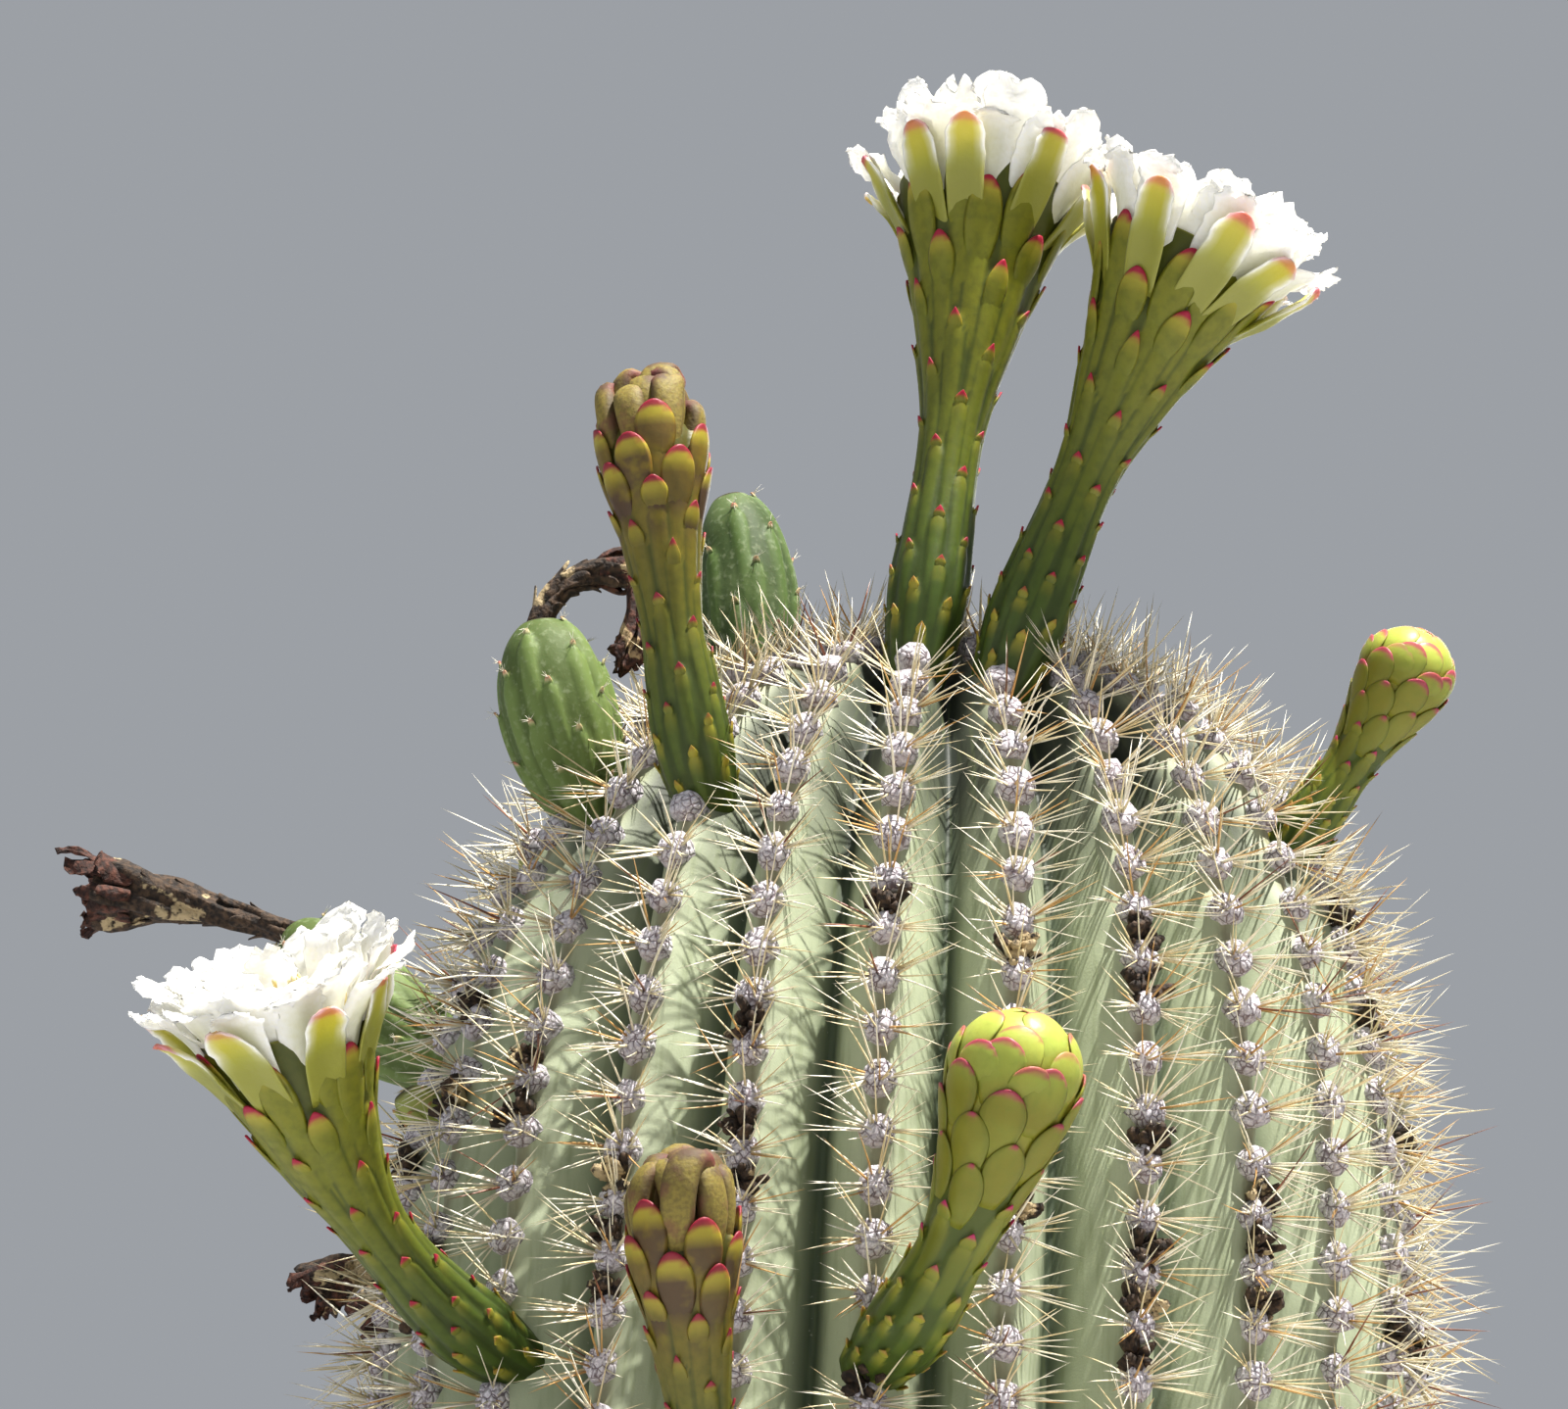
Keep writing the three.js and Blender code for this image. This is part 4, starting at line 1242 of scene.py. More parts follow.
def add_tips(mould, growth, body, values, girth, gold_below, bruise_above, broad_from):
    """The free tips: small and pointed low on the tube, long tongues with round ends at its rim."""
    share, turn, half, _, high, tint, free = values
    rows, sides = TIP_GRID
    broad = ramp(share, broad_from, broad_from + 0.25)
    points, s = scales(growth, body, share * growth.length + 0.5 * girth, turn, free,
                       (0.5 + 0.45 * broad) * half, (0.8 + 0.6 * broad) * girth, (0.3 + 0.5 * broad) * girth,
                       0.45, 0.55, 1.0 + 1.1 * broad, rows, sides,
                       seat=(0.7 + 0.1 * broad) * high, point=0.85 - 0.27 * broad)
    edge = edges(sides)
    from_tip = ((1 - s) * free[:, None])[..., None] + 0 * edge
    curve = (0.55 * half * broad)[:, None, None] * edge**3
    share, turn, broad, tint = (value[:, None, None] for value in (share, turn, broad, tint))
    margin = from_tip - curve * ramp(s, 0.7, 1)[..., None]
    tinted = ramp(-margin, -1.25 * tint, -0.6 * tint)
    yellow = ramp(-margin, -3.2 * tint, -1.2 * tint) * (0.25 + 0.55 * broad)
    low = ramp(-share, -gold_below - 0.06, -gold_below + 0.02)
    start = 2.0 + 3.0 * np.cos(7 * turn) ** 2
    bruise = ramp(from_tip - start, 0, 3.0) * (0.3 + 0.7 * np.sin(5 * turn) ** 2)
    mould.add(points, rows, sides, rise=np.clip(share - from_tip / growth.length, 0, 1),
              blush=tinted * (1 - 0.7 * low), gold=yellow + 0.5 * low,
              bruise=bruise * ramp(share, bruise_above, bruise_above + 0.1))


def clad_body(mould, growth, radii, outside, grid, belts, girth, chance, gold_below=0.2,
              bruise_above=NEVER, broad_from=0.7, throat=False):
    """A lathe with ridges, and a free tip on each; with a throat, the ridges end at the farthest ring."""
    body = radius_of(outside, girth)
    values = belt_values(belts, girth, chance)
    radius, share, turn = lathe_grid(radii, girth, *grid)
    outer = np.arange(grid[0])[:, None] <= (share.argmax() if throat else grid[0])
    height, below, side = ridges(growth, body, values[:5], share, turn)
    relief = np.where(outer, height - 0.25 * girth * ramp(radius, 3, 6), 0)
    last = values[0].max()
    # Painted shade for the grooves: 1 between ridges and at a ridge's sides, 0 past the last tip.
    groove = np.maximum(1 - ramp(height / girth, 0.0, 0.3), ramp(side, 0.5, 0.85)) * outer
    groove = groove * (1 - ramp(share, last, last + 0.03))
    near_tip = 1 - ramp(below, 1.0, 6.0 * girth)
    bruise = ramp(below, 2.5, 4.5) * (1 - ramp(below, 9, 16)) * (1 - groove) * outer
    mould.add(lathe(growth, radius + relief, share, turn), *grid, rise=np.clip(share, 0, 1), groove=groove,
              gold=(1 - groove) * near_tip * (0.25 + 0.35 * (share < gold_below)) * outer,
              bruise=bruise * ramp(share, bruise_above, bruise_above + 0.12))
    add_tips(mould, growth, body, values, girth, gold_below, bruise_above, broad_from)


print("quads of a free tip:", len(tube_faces(*TIP_GRID)[0]))

# %% [markdown]
# ## The petals of an open flower
#
# Outside stands one ring of striped green tongues, tepals, with crimson tips. Inside them three rings of
# white petals open wider, each with a crimped, notched end. Their turns are staggered, so that they
# overlap like roof tiles.

# %% Petals of an open flower
PETAL_GRID = 16, 16
# Each ring: petals, four points of (radius, distance past the rim), half width, thickness, stagger, stripe.
TEPAL_RINGS = [
    (9, (12.8, -14), (17.6, -6), (21.8, 2), (27.6, 7.0), 4.6, 1.5, 0.1, 1.0),
]
PETAL_RINGS = [
    (11, (14.2, -10), (17.8, -2), (22, 7.0), (28.8, 10.5), 5.6, 1.0, 0.3, 0.4),
    (12, (13.2, -7), (16.5, 1.5), (20.5, 9), (26.0, 13.5), 5.7, 1.0, 0.8, 0.15),
    (11, (11.5, -5), (14.0, 3), (17, 10.5), (21.5, 14.5), 5.4, 1.0, 0.35, 0.0),
]
TEPAL_SHAPE = {"cup": -0.5, "ruffle": 0.5, "nick": 0.08, "foot": 0.8, "widest": 0.72, "bluntness": 2.1,
               "thinning": 0.35, "arch": 0.03}
PETAL_SHAPE = {"ruffle": 1.3, "nick": 0.2, "foot": 0.5, "widest": 0.76, "thinning": 0.65}
TEPAL_LENGTH = 25


def tepal_marks(s, edge, chance):
    """A tepal is olive at its foot and green along its middle, gold past that, with a crimson rim."""
    green = 1 - 0.9 * ramp(edge, 0.55, 0.95) * ramp(s, 0.4, 0.7)
    margin = (1 - s) * TEPAL_LENGTH - 1.6 * edge**3 * ramp(s, 0.75, 1)
    blush = ramp(-margin, -3.2, -1.2) * chance.uniform(0.2, 1, (len(s), 1, 1))
    gold = green * ramp(s, 0.5, 0.95) * 0.6
    return {"stripe": green, "olive": 1 - ramp(s, 0.4, 0.75), "gold": gold, "blush": blush}


def petal_marks(s, edge, stripe):
    """A white petal has a green stripe up its middle, and is green across at its foot."""
    middle = np.clip(1.35 - edge / 0.62, 0, 1) * (1 - ramp(s, 0.45, 0.95))
    return {"stripe": stripe * np.clip(1.4 * middle + 1.5 * (1 - ramp(s, 0.1, 0.4)), 0, 1)}


def add_petals(mould, growth, chance):
    """Striped tepals outside, white petals inside, ring by ring."""
    rows, sides = PETAL_GRID
    edge = edges(sides)
    for ring in TEPAL_RINGS + PETAL_RINGS:
        white = ring in PETAL_RINGS
        count, *points, half, thick, stagger, stripe = ring
        lines = strayed(count, points, 2, 1.9 if white else 1.2, chance)
        turn = staggered(count, stagger, 0.07, chance)
        half = half * chance.uniform(0.88, 1.1, count)
        shape = {**TEPAL_SHAPE, "sway": chance.normal(0, 0.8, count)}
        if white:
            shape = {**PETAL_SHAPE, "cup": chance.uniform(-0.5, 2.4, count),
                     "bluntness": chance.uniform(1.1, 3.6, count), "sway": chance.normal(0, 1.3, count),
                     "notch": chance.uniform(-1.0, 3.0, count)}
        points, s = petals(growth, turn, lines, half, thick, chance, rows=rows, sides=sides, **shape)
        s = s[..., None]
        marks = petal_marks(s, edge, stripe) if white else tepal_marks(s, edge, chance)
        mould.add(points, rows, sides, **marks)


print("petals of an open flower:", sum(ring[0] for ring in TEPAL_RINGS + PETAL_RINGS))

# %% [markdown]
# ## Stamens and stigma
#
# Of a flower's thousands of stamens only a mat of cream anthers shows from the side, so fewer than two
# hundred threads do: each runs from the wall of the throat to a disc of tips. The style is a post up the
# middle, and its stigma spreads into ten thick lobes.

# %% Stamens and stigma
STAMEN_COUNT = 170
STAMEN_SHARES = np.array([0.0, 0.4, 0.8, 0.9, 0.96, 1.0])
STAMEN_GIRTHS = np.array([0.24, 0.2, 0.17, 0.5, 0.62, 0.35])
STAMEN_SIDES = 4
STIGMA_LOBES = 10
STYLE_RADII = [(1.3, 0.56), (1.2, 0.8), (1.3, 0.99), (0.6, 1.0)]


def add_stamens(mould, growth, chance):
    """Threads from the throat's wall to a ring of tips, each a thin tube that ends in a swollen anther."""
    turn = chance.uniform(0, 2 * np.pi, STAMEN_COUNT)
    low = chance.uniform(0.72, 0.95, STAMEN_COUNT)
    root = np.stack([np.interp(low, [0.7, 0.86, 1], [8.4, 13, 17]) + 0.2, low * growth.length], -1)
    reach = 3 + 11 * np.sqrt(chance.uniform(0, 1, STAMEN_COUNT))
    height = growth.length + 2 + 4 * (reach / 15) ** 2 + chance.uniform(-2, 2, STAMEN_COUNT)
    tip = np.stack([reach, height], -1)
    knee = np.stack([root[:, 0] * 0.6 + tip[:, 0] * 0.4, root[:, 1] + 7], -1)
    line, _ = curve_points(np.stack([root, knee, 0.4 * knee + 0.6 * tip, tip], 1), STAMEN_SHARES)
    centre = growth.place(line[..., 0], line[..., 1], turn[:, None])
    direction = unit(np.gradient(centre, axis=1))
    pair = square_pair(direction, [0.3, 0.2, 0.93])
    rings = rings_round(centre, pair, STAMEN_GIRTHS[None, :, None], STAMEN_SIDES)
    end = centre[:, -1] + direction[:, -1] * 0.3
    mould.add(with_poles(rings, centre[:, 0], end), len(STAMEN_SHARES), STAMEN_SIDES)


def add_stigma(mould, growth, chance):
    """The style, and the lobes of the stigma on its top."""
    mould.add(lathe(growth, *lathe_grid(STYLE_RADII, 1, 6, 8)), 6, 8)
    lines = np.tile(np.array([(0.6, -1), (1.2, 3), (3.2, 5.2), (6.2, 6.5)], float), (STIGMA_LOBES, 1, 1))
    points, _ = petals(growth, circle(STIGMA_LOBES), lines, 0.7, 1.3, chance,
                       foot=0.9, widest=0.9, rows=6, sides=8)
    mould.add(points, 6, 8)


print("stamens of an open flower:", STAMEN_COUNT)

# %% [markdown]
# ## Open flowers
#
# Each is three pieces, because tube, petals and stamens differ in finish and a later user may want one
# without the others. All its chances come from one seed, so it looks the same every time.

# %% Open flowers
FLOWER_GRID = 184, 100


def make_open_flower(number, place):
    """The tube, the petals and the stamens of one flower, as three pieces."""
    chance = np.random.default_rng(100 + number)
    growth = on_stem(*place)
    node = f"open_flower_{number}"
    tube, crown, cup = Mould(), Mould(), Mould()
    clad_body(tube, growth, TUBE_RADII + THROAT_RADII, TUBE_OUTSIDE, FLOWER_GRID, FLOWER_BELTS, 1.0, chance,
              throat=True)
    tube.make(f"{node}_tube", [TUBE_GREEN], "flower_tube", [node])
    add_petals(crown, growth, chance)
    crown.make(f"{node}_petals", [PETAL], "petal", [node])
    add_stamens(cup, growth, chance)
    add_stigma(cup, growth, chance)
    cup.make(f"{node}_stamens", [STAMEN], "stamen", [node])


for number, place in enumerate(OPEN_FLOWERS, 1):
    make_open_flower(number, place)

# %% [markdown]
# ## The finish of a closing flower
#
# By the next afternoon a flower shuts. Its thick outer tepals turn ochre and bruise to purple and brown.
# One noise carries both the bruises and the bumps, so that a bruise looks soft and sunken.

# %% Finishes of closing flowers
def closing_head_finish():
    """Two ochres by the grain, painted shade where fingers meet, two bruises in patches, a rim that blushes.
    """
    finish = Finish("closing_finger", 0.5, Subsurface_Weight=0.06, Subsurface_Scale=0.003)
    patch = finish.noise(6, 4)
    grain = finish.noise(0.8, 3)
    colour = finish.coats(
        0x8A7A32,
        (grain.between(0.35, 0.7), 0x74642A),
        # Painted shade: dark brown along the edges where two fingers meet.
        (finish.mark("groove") * 0.9, 0x402E1A),
        (patch.between(0.52, 0.64) * 0.6, 0x724636),
        (finish.mark("bruise") * patch.between(0.42, 0.56) * 0.85, 0x4A3426),
        (finish.mark("blush"), 0x9A3C48),
    )
    return finish.done(colour, patch + 0.4 * grain, 0.4, 0.9, 0.58 + 0.25 * patch)


CLOSING = green_finish("closing_tepal", 0x4E5F1E, 0x806822, 0x8A2234, bruise=0x4E3A28)
FINGER = closing_head_finish()
print("finishes:", CLOSING.name, FINGER.name)

# %% [markdown]
# ## Closing flowers
#
# The tepals of a closing flower curl in over each other like knuckles. So the head is three rings of fat
# fingers whose lines bend over the top and down into the middle. Each strays, sinks and sways by chance,
# which makes the head look limp.

# %% Closing flowers
CLOSING_RADII = [(6.2, 0), (8.1, 0.15), (7.2, 0.3), (6.2, 0.42), (7.9, 0.6), (10.2, 0.77), (8.6, 0.84),
                 (4, 0.87), (1, 0.875)]
CLOSING_OUTSIDE = CLOSING_RADII[:6] + [(10.0, 0.88), (9.6, 1)]
CLOSING_BELTS = [
    (20, 0.07, 0.3, (2.0, 2.3), (11, 15), (0.7, 0.75), 1.0, 3.2),
    (13, 0.32, 0.55, (2.4, 2.8), (18, 24), (0.85, 0.95), 1.4, 3.6),
    (9, 0.58, 0.71, (3.0, 3.4), (24, 26), (1.0, 1.0), 1.6, 8),
    (13, 0.735, 0.87, (3.9, 4.3), (26, 24), (1.1, 1.2), 1.8, 14),
]
# Each ring: fingers, four points of (radius, distance past the end), half width, thickness, stagger.
CLOSING_RINGS = [
    (8, (6.4, -23), (10.4, -13.5), (9.8, -3.5), (4.4, -9.0), 3.7, 5.2, 0.0),
    (6, (4.4, -20), (7.6, -9.5), (7.6, 0.5), (0.8, -5.5), 3.5, 4.8, 0.4),
    (3, (2.4, -16), (5.0, -6), (4.6, 2.5), (-2.5, -4.5), 3.3, 4.8, 0.2),
]
CLOSING_GRID = 144, 88
FINGER_GRID = 20, 16


def add_fingers(mould, growth, chance):
    """The rings of fingers, with painted shade where two meet, bruised towards their ends."""
    rows, sides = FINGER_GRID
    edge = edges(sides)
    for count, *points, half, thick, stagger in CLOSING_RINGS:
        lines = strayed(count, points, 1, 0.9, chance)
        lines[:, 2:, 1] += chance.uniform(-3.5, 1.5, count)[:, None]
        turn = staggered(count, stagger, 0.12, chance)
        half = half * chance.uniform(0.75, 1.15, count)
        sway = chance.normal(0, 3.2, count)
        points, s = petals(growth, turn, lines, half, thick, chance, cup=-0.6, ruffle=0.8, foot=0.75,
                           widest=0.7, rows=rows, sides=sides, thinning=0.1, sway=sway)
        s = s[..., None]
        # The groove mark is painted shade along each finger's edges.
        mould.add(points, rows, sides, groove=edge**6 * 0.9 + 0 * s, bruise=ramp(s, 0.3, 0.75),
                  blush=0.5 * edge**4 * ramp(s, 0.5, 0.9))


def make_closing_flower(number, place):
    """The tube and the head of one closing flower, as two pieces."""
    chance = np.random.default_rng(200 + number)
    growth = on_stem(*place)
    node = f"closing_flower_{number}"
    flower, head = Mould(), Mould()
    clad_body(flower, growth, CLOSING_RADII, CLOSING_OUTSIDE, CLOSING_GRID, CLOSING_BELTS, 1.0, chance,
              bruise_above=0.55, broad_from=0.55)
    flower.make(f"{node}_tube", [CLOSING], "closing_flower", [node])
    add_fingers(head, growth, chance)
    head.make(f"{node}_head", [FINGER], "closing_flower", [node])


for number, place in enumerate(CLOSING_FLOWERS, 1):
    make_closing_flower(number, place)

# %% [markdown]
# ## The finish of a bud
#
# A bud is lime green, palest on its dome, and each scale there has a magenta rim. All of it is one finish:
# the mark of how high a point stands turns olive into lime, and the blush mark draws the rims.

# %% Finish of the buds
def bud_finish():
    """Green that pales towards the dome, in soft patches, with painted shade in the grooves, gold tips and
    magenta rims.
    """
    finish = Finish("bud_scale", 0.36, Subsurface_Weight=0.12, Subsurface_Scale=0.004,
                    Specular_IOR_Level=0.3)
    grain = finish.noise(2.0, 3)
    patch = finish.noise(12, 2)
    rise = finish.mark("rise")
    colour = finish.coats(
        0x4A5E1E,
        (rise.between(0.15, 0.72), 0x7C781E),
        (rise.between(0.76, 0.92), 0xB8C054),
        (patch.between(0.45, 0.75) * 0.35, 0x8F9638),
        (grain.between(0.45, 0.8) * 0.2, 0x5F7228),
        # Painted shade: the groove mark darkens the grooves and the sides of the tiles.
        (finish.mark("groove") * 0.8, 0x3C4C18),
        (finish.mark("gold"), 0xAEA63C),
        (finish.mark("blush"), 0xAD2C58),
    )
    return finish.done(colour, grain, 0.25, 0.4, 0.33 + 0.18 * grain)


BUD = bud_finish()
print("finish:", BUD.name)

# %% [markdown]
# ## Tiles on a dome
#
# Near the top of a bud a scale bent by an angle would pinch. So these tiles are laid on an oval dome: each
# follows a meridian, and its points are moved sideways and pushed back to their distance from the dome's
# centre.

# %% Dome tiles
def dome_tiles(growth, centre, wide, tall, tip_angle, turn, length, half, thick, proud, sunk, rows, sides):
    """Tiles on a dome, the share of its length at each ring, and the share of the bloom's length there.

    A tile comes up to its tip's angle from the top, or runs past the top if that is negative. The dome is an
    oval of half sizes wide and tall round a centre on the growth line.
    """
    s, t = row_places(rows, 1.6), circle(sides)
    angle = tip_angle[:, None] + length / wide * (1 - s)
    reach = 1 / np.hypot(np.sin(angle) / wide, np.cos(angle) / tall)
    middle = np.stack([reach * np.sin(angle), 0 * angle, reach * np.cos(angle)], -1)
    across = (half[:, None] * leaf_width(s, 0.8, 0.6, 2.3))[..., None] * np.cos(t)
    offset = np.stack([0 * across, across, 0 * across], -1)
    lift = (proud[:, None] * s - sunk * (1 - s) ** 2)[..., None]
    lift = lift + thick * (0.55 - 0.25 * s)[:, None] * np.sin(t)
    solid = unit(middle[:, :, None] + offset) * (reach[..., None] + lift)[..., None]
    rings = growth.place(np.hypot(solid[..., 0], solid[..., 1]), centre + solid[..., 2],
                         turn[:, None, None] + np.arctan2(solid[..., 1], solid[..., 0]))
    poles = []
    for at, out in ((angle[:, 0], -sunk), (tip_angle, proud)):
        far = 1 / np.hypot(np.sin(at) / wide, np.cos(at) / tall) + out
        poles.append(growth.place(np.abs(far * np.sin(at)), centre + far * np.cos(at),
                                  turn + np.where(at < 0, np.pi, 0)))
    share = (centre + reach * np.cos(angle)) / growth.length
    return with_poles(rings, *poles), np.broadcast_to(s, share.shape), share


def tile_rim(s, sides, long, broad, strength):
    """The rim of a tile of a length in mm: its round end, and its sides where the tile is broad."""
    edge = edges(sides)
    margin = (1 - s) * long - 1.9 * broad * edge**3 * ramp(s, 0.6, 1) + 1.6 * (1 - broad) * edge
    return ramp(-margin, -1.7, -0.8) * strength


print("a golden spiral turns by", round(float(np.degrees(GOLDEN_TURN)), 1), "degrees a tile")

# %% [markdown]
# ## Buds
#
# A bud is a club. Low down its scales are ridges with small tips, like a flower's. From the neck up they
# overlap like tiles, and the last ones lie right across the top.

# %% Buds
BUD_RADII = [(6.4, 0), (8.5, 0.17), (7.7, 0.32), (7.0, 0.43), (8.6, 0.57), (12.2, 0.74), (13.1, 0.84),
             (11.4, 0.92), (7, 0.968), (1, 0.985)]
BUD_BELTS = [
    (30, 0.06, 0.34, (2.1, 2.6), (8, 11), (0.8, 0.8), 0.9, 2.6),
    (15, 0.36, 0.6, (3.0, 4.0), (14, 19), (0.9, 0.9), 1.2, 5),
]
BUD_GRID = 120, 88
SIDE_TILES = 24
SIDE_TILE_GRID = 12, 14
SIDE_TILE_LENGTH = 13
DOME_TILES = 18
DOME_TILE_GRID = 14, 14
DOME_TILE_LENGTH = 15
DOME_WIDE, DOME_TALL = 13.4, 12.6
OVER_THE_TOP = [-0.12, -0.3, -0.5]  # angles of the tips of the last tiles


def add_tiles(mould, growth, girth, chance):
    """Tiles on the side of the club, from the neck up to the dome, narrow below and broad above."""
    share = np.linspace(0.62, 0.91, SIDE_TILES)
    half = np.interp(share, [0.62, 0.76, 0.9], [3.4, 4.7, 5.2]) * girth
    broad = ramp(share, 0.72, 0.84)
    long = SIDE_TILE_LENGTH * girth
    turn = spiral(SIDE_TILES, 0.5, chance)
    points, s = scales(growth, radius_of(BUD_RADII, girth), share * growth.length, turn, long, half,
                       1.3 * girth, (0.3 + 0.55 * broad) * girth, 0.5, 0.6, 1.8, *SIDE_TILE_GRID,
                       seat=0.3 * girth, point=0.6)
    s = s[..., None]
    edge = edges(SIDE_TILE_GRID[1])
    rim = tile_rim(s, SIDE_TILE_GRID[1], long, broad[:, None, None], 0.85)
    # The groove mark is painted shade along the sides of each tile.
    mould.add(points, *SIDE_TILE_GRID, rise=share[:, None, None] - long / growth.length * (1 - s),
              groove=0.55 * edge**5 * ramp(s, 0.15, 0.4), blush=(rim, 0.0, 0.85))


def add_dome(mould, growth, girth, chance):
    """Tiles over the dome on one golden spiral, evenly spread in height; the last run over the top."""
    number = np.arange(DOME_TILES)
    angle = np.arccos(np.clip((number + 1.2) / (DOME_TILES - 2.0), 0, 1))
    angle[-len(OVER_THE_TOP):] = OVER_THE_TOP
    half = np.interp(angle, [-0.5, 0.6, 1.5], [6.4, 5.8, 5.4]) * girth
    proud = np.interp(number, [0, DOME_TILES], [0.8, 0.3]) * girth
    centre = growth.length * 0.985 - DOME_TALL * girth
    long = DOME_TILE_LENGTH * girth
    points, s, share = dome_tiles(growth, centre, DOME_WIDE * girth, DOME_TALL * girth, angle,
                                  2.4 + GOLDEN_TURN * number, long, half, 1.2 * girth, proud, 1.6 * girth,
                                  *DOME_TILE_GRID)
    strength = chance.uniform(0.45, 0.95, (DOME_TILES, 1, 1))
    mould.add(points, *DOME_TILE_GRID, rise=share,
              blush=tile_rim(s[..., None], DOME_TILE_GRID[1], long, 1.0, strength))


def make_bud(number, place):
    """The club with its ridges, the tiles on its side and the tiles of its dome, as one piece."""
    chance = np.random.default_rng(300 + number)
    *seat, girth = place
    growth = on_stem(*seat)
    node = f"bud_{number}"
    bud = Mould()
    clad_body(bud, growth, BUD_RADII, BUD_RADII, BUD_GRID, BUD_BELTS, girth, chance, gold_below=0.38)
    add_tiles(bud, growth, girth, chance)
    add_dome(bud, growth, girth, chance)
    bud.make(f"{node}_scales", [BUD], "bud", [node])


for number, place in enumerate(BUDS, 1):
    make_bud(number, place)

# %% [markdown]
# ## The finish of a fruit
#
# Fruits of one plant differ: some are pale and waxy, and the young ones are yellow-green. A deep green copy
# of the pale finish is painted shade, for two of them. One recipe with three colours makes them all. The
# end, where the flower has dried off, is dark brown.

# %% Finishes of the fruits
def fruit_finish(name, pale, deep, patchy):
    """Pale ridges and deep grooves, broad patches, a waxy bloom, a brown end, and points that blush."""
    finish = Finish(name, 0.6, Subsurface_Weight=0.05, Subsurface_Scale=0.003, Specular_IOR_Level=0.25)
    broad = finish.noise(16, 3)
    grain = finish.noise(1.3, 3)
    colour = finish.coats(
        pale,
        (finish.mark("groove"), deep),
        (broad.between(0.42, 0.7) * 0.5, patchy),
        (grain.between(0.5, 0.75) * 0.3, 0xA3AE8A),
        (finish.mark("end"), 0x33261C),
        (finish.mark("gold"), 0xC9BC92),
        (finish.mark("blush"), 0xA84A44),
    )
    return finish.done(colour, grain, 0.2, 0.4, 0.5 + 0.25 * broad)


FRUIT = fruit_finish("fruit_skin", 0x6C8044, 0x37451C, 0x55662F)
# Painted shade: a darker copy of the fruit finish, for fruits that are shaded.
PAINTED_SHADE_FRUIT = fruit_finish("fruit_skin_painted_shade", 0x4E6430, 0x27341A, 0x6A7C4C)
YOUNG_FRUIT = fruit_finish("young_fruit_skin", 0x9CA256, 0x5E6A2C, 0xB0AE62)
BRISTLE = plain_finish("bristle_white", 0xF4F1E6, 0xD9D0B8, 1.5, 0.6)
print("finishes:", FRUIT.name, PAINTED_SHADE_FRUIT.name, YOUNG_FRUIT.name, BRISTLE.name)

# %% [markdown]
# ## Fruits
#
# A fruit is a plump green egg. Each of its tubercles is a low ridge that ends above in a small pink-tipped
# point with a few white bristles. One belt of scales, like a flower's, says where ridges, points and
# bristles stand.

# %% Fruits
FRUIT_RADII = [(4.4, 0), (7.6, 0.13), (10.8, 0.3), (12, 0.5), (11.4, 0.7), (8.8, 0.87), (4.8, 0.97),
               (1, 0.985)]
FRUIT_BELTS = [(30, 0.14, 0.965, (2.1, 2.7), (22, 30), (0.95, 1.1), 0.8, 2.6)]
FRUIT_GRID = 88, 88
# The fruits that take the painted-shade copy of the finish.
FRUITS_IN_PAINTED_SHADE = (2, 5)
BRISTLES_EACH = 5


def make_bristles(node, growth, body, share, turn, chance):
    """Fine tapers round each point of a fruit, spread about the way that the point looks."""
    count = len(share) * BRISTLES_EACH
    where = growth.place(body(share) + 1.0, share * growth.length, turn)
    away = unit(growth.place(body(share) + 6, share * growth.length + 3, turn) - where)
    direction = unit(np.repeat(away, BRISTLES_EACH, axis=0) + chance.normal(0, 0.5, (count, 3)))
    size = chance.uniform(1.2, 2.8, count)
    sag = 0.1 * size[:, None] * direction[:, ::-1]
    bristles = Mould()
    bristles.add(tapers(np.repeat(where, BRISTLES_EACH, axis=0), direction, sag, size, 0.08 + 0 * size),
                 len(SPINE_SHARES), SPINE_SIDES)
    bristles.make(f"{node}_bristles", [BRISTLE], "fruit", [node])


def make_fruit(number, place):
    """An egg with ridges and a small point on each, then its bristles as a second piece."""
    chance = np.random.default_rng(400 + number)
    *seat, girth = place
    growth = on_stem(*seat)
    node = f"fruit_{number}"
    body = radius_of(FRUIT_RADII, girth)
    tips = belt_values(FRUIT_BELTS, girth, chance)[:5]
    radius, share, turn = lathe_grid(FRUIT_RADII, girth, *FRUIT_GRID)
    height, _, _ = ridges(growth, body, tips, share, turn)
    relief = (height - 0.3 * girth) * ramp(radius, 2, 6)
    fruit = Mould()
    fruit.add(lathe(growth, radius + relief, share, turn), *FRUIT_GRID,
              groove=(1 - ramp(height / girth, 0.0, 0.5)) * 0.6,
              end=(ramp(share, 0.966, 0.978), 0.0, 1.0))
    share, turn = tips[:2]
    points, s = scales(growth, body, share * growth.length + 0.4, turn, 2.6, 0.85, 0.9, 0.7, 0.7, 0.5, 1.4,
                       seat=0.4)
    red = chance.uniform(0.0, 0.9, (len(share), 1))
    fruit.add(points, 8, 8, blush=ramp(s, 0.6, 0.85) * red, gold=ramp(s, 0.45, 0.75) * 0.8)
    fruit.make(f"{node}_body", [PAINTED_SHADE_FRUIT if number in FRUITS_IN_PAINTED_SHADE else FRUIT], "fruit", [node])
    make_bristles(node, growth, body, share, turn, chance)


for number, place in enumerate(FRUITS, 1):
    make_fruit(number, place)

# %% [markdown]
# ## Young fruits
#
# A young fruit is small and smooth. A plain lathe with a few scales on a spiral is enough, because others
# hide most of it.

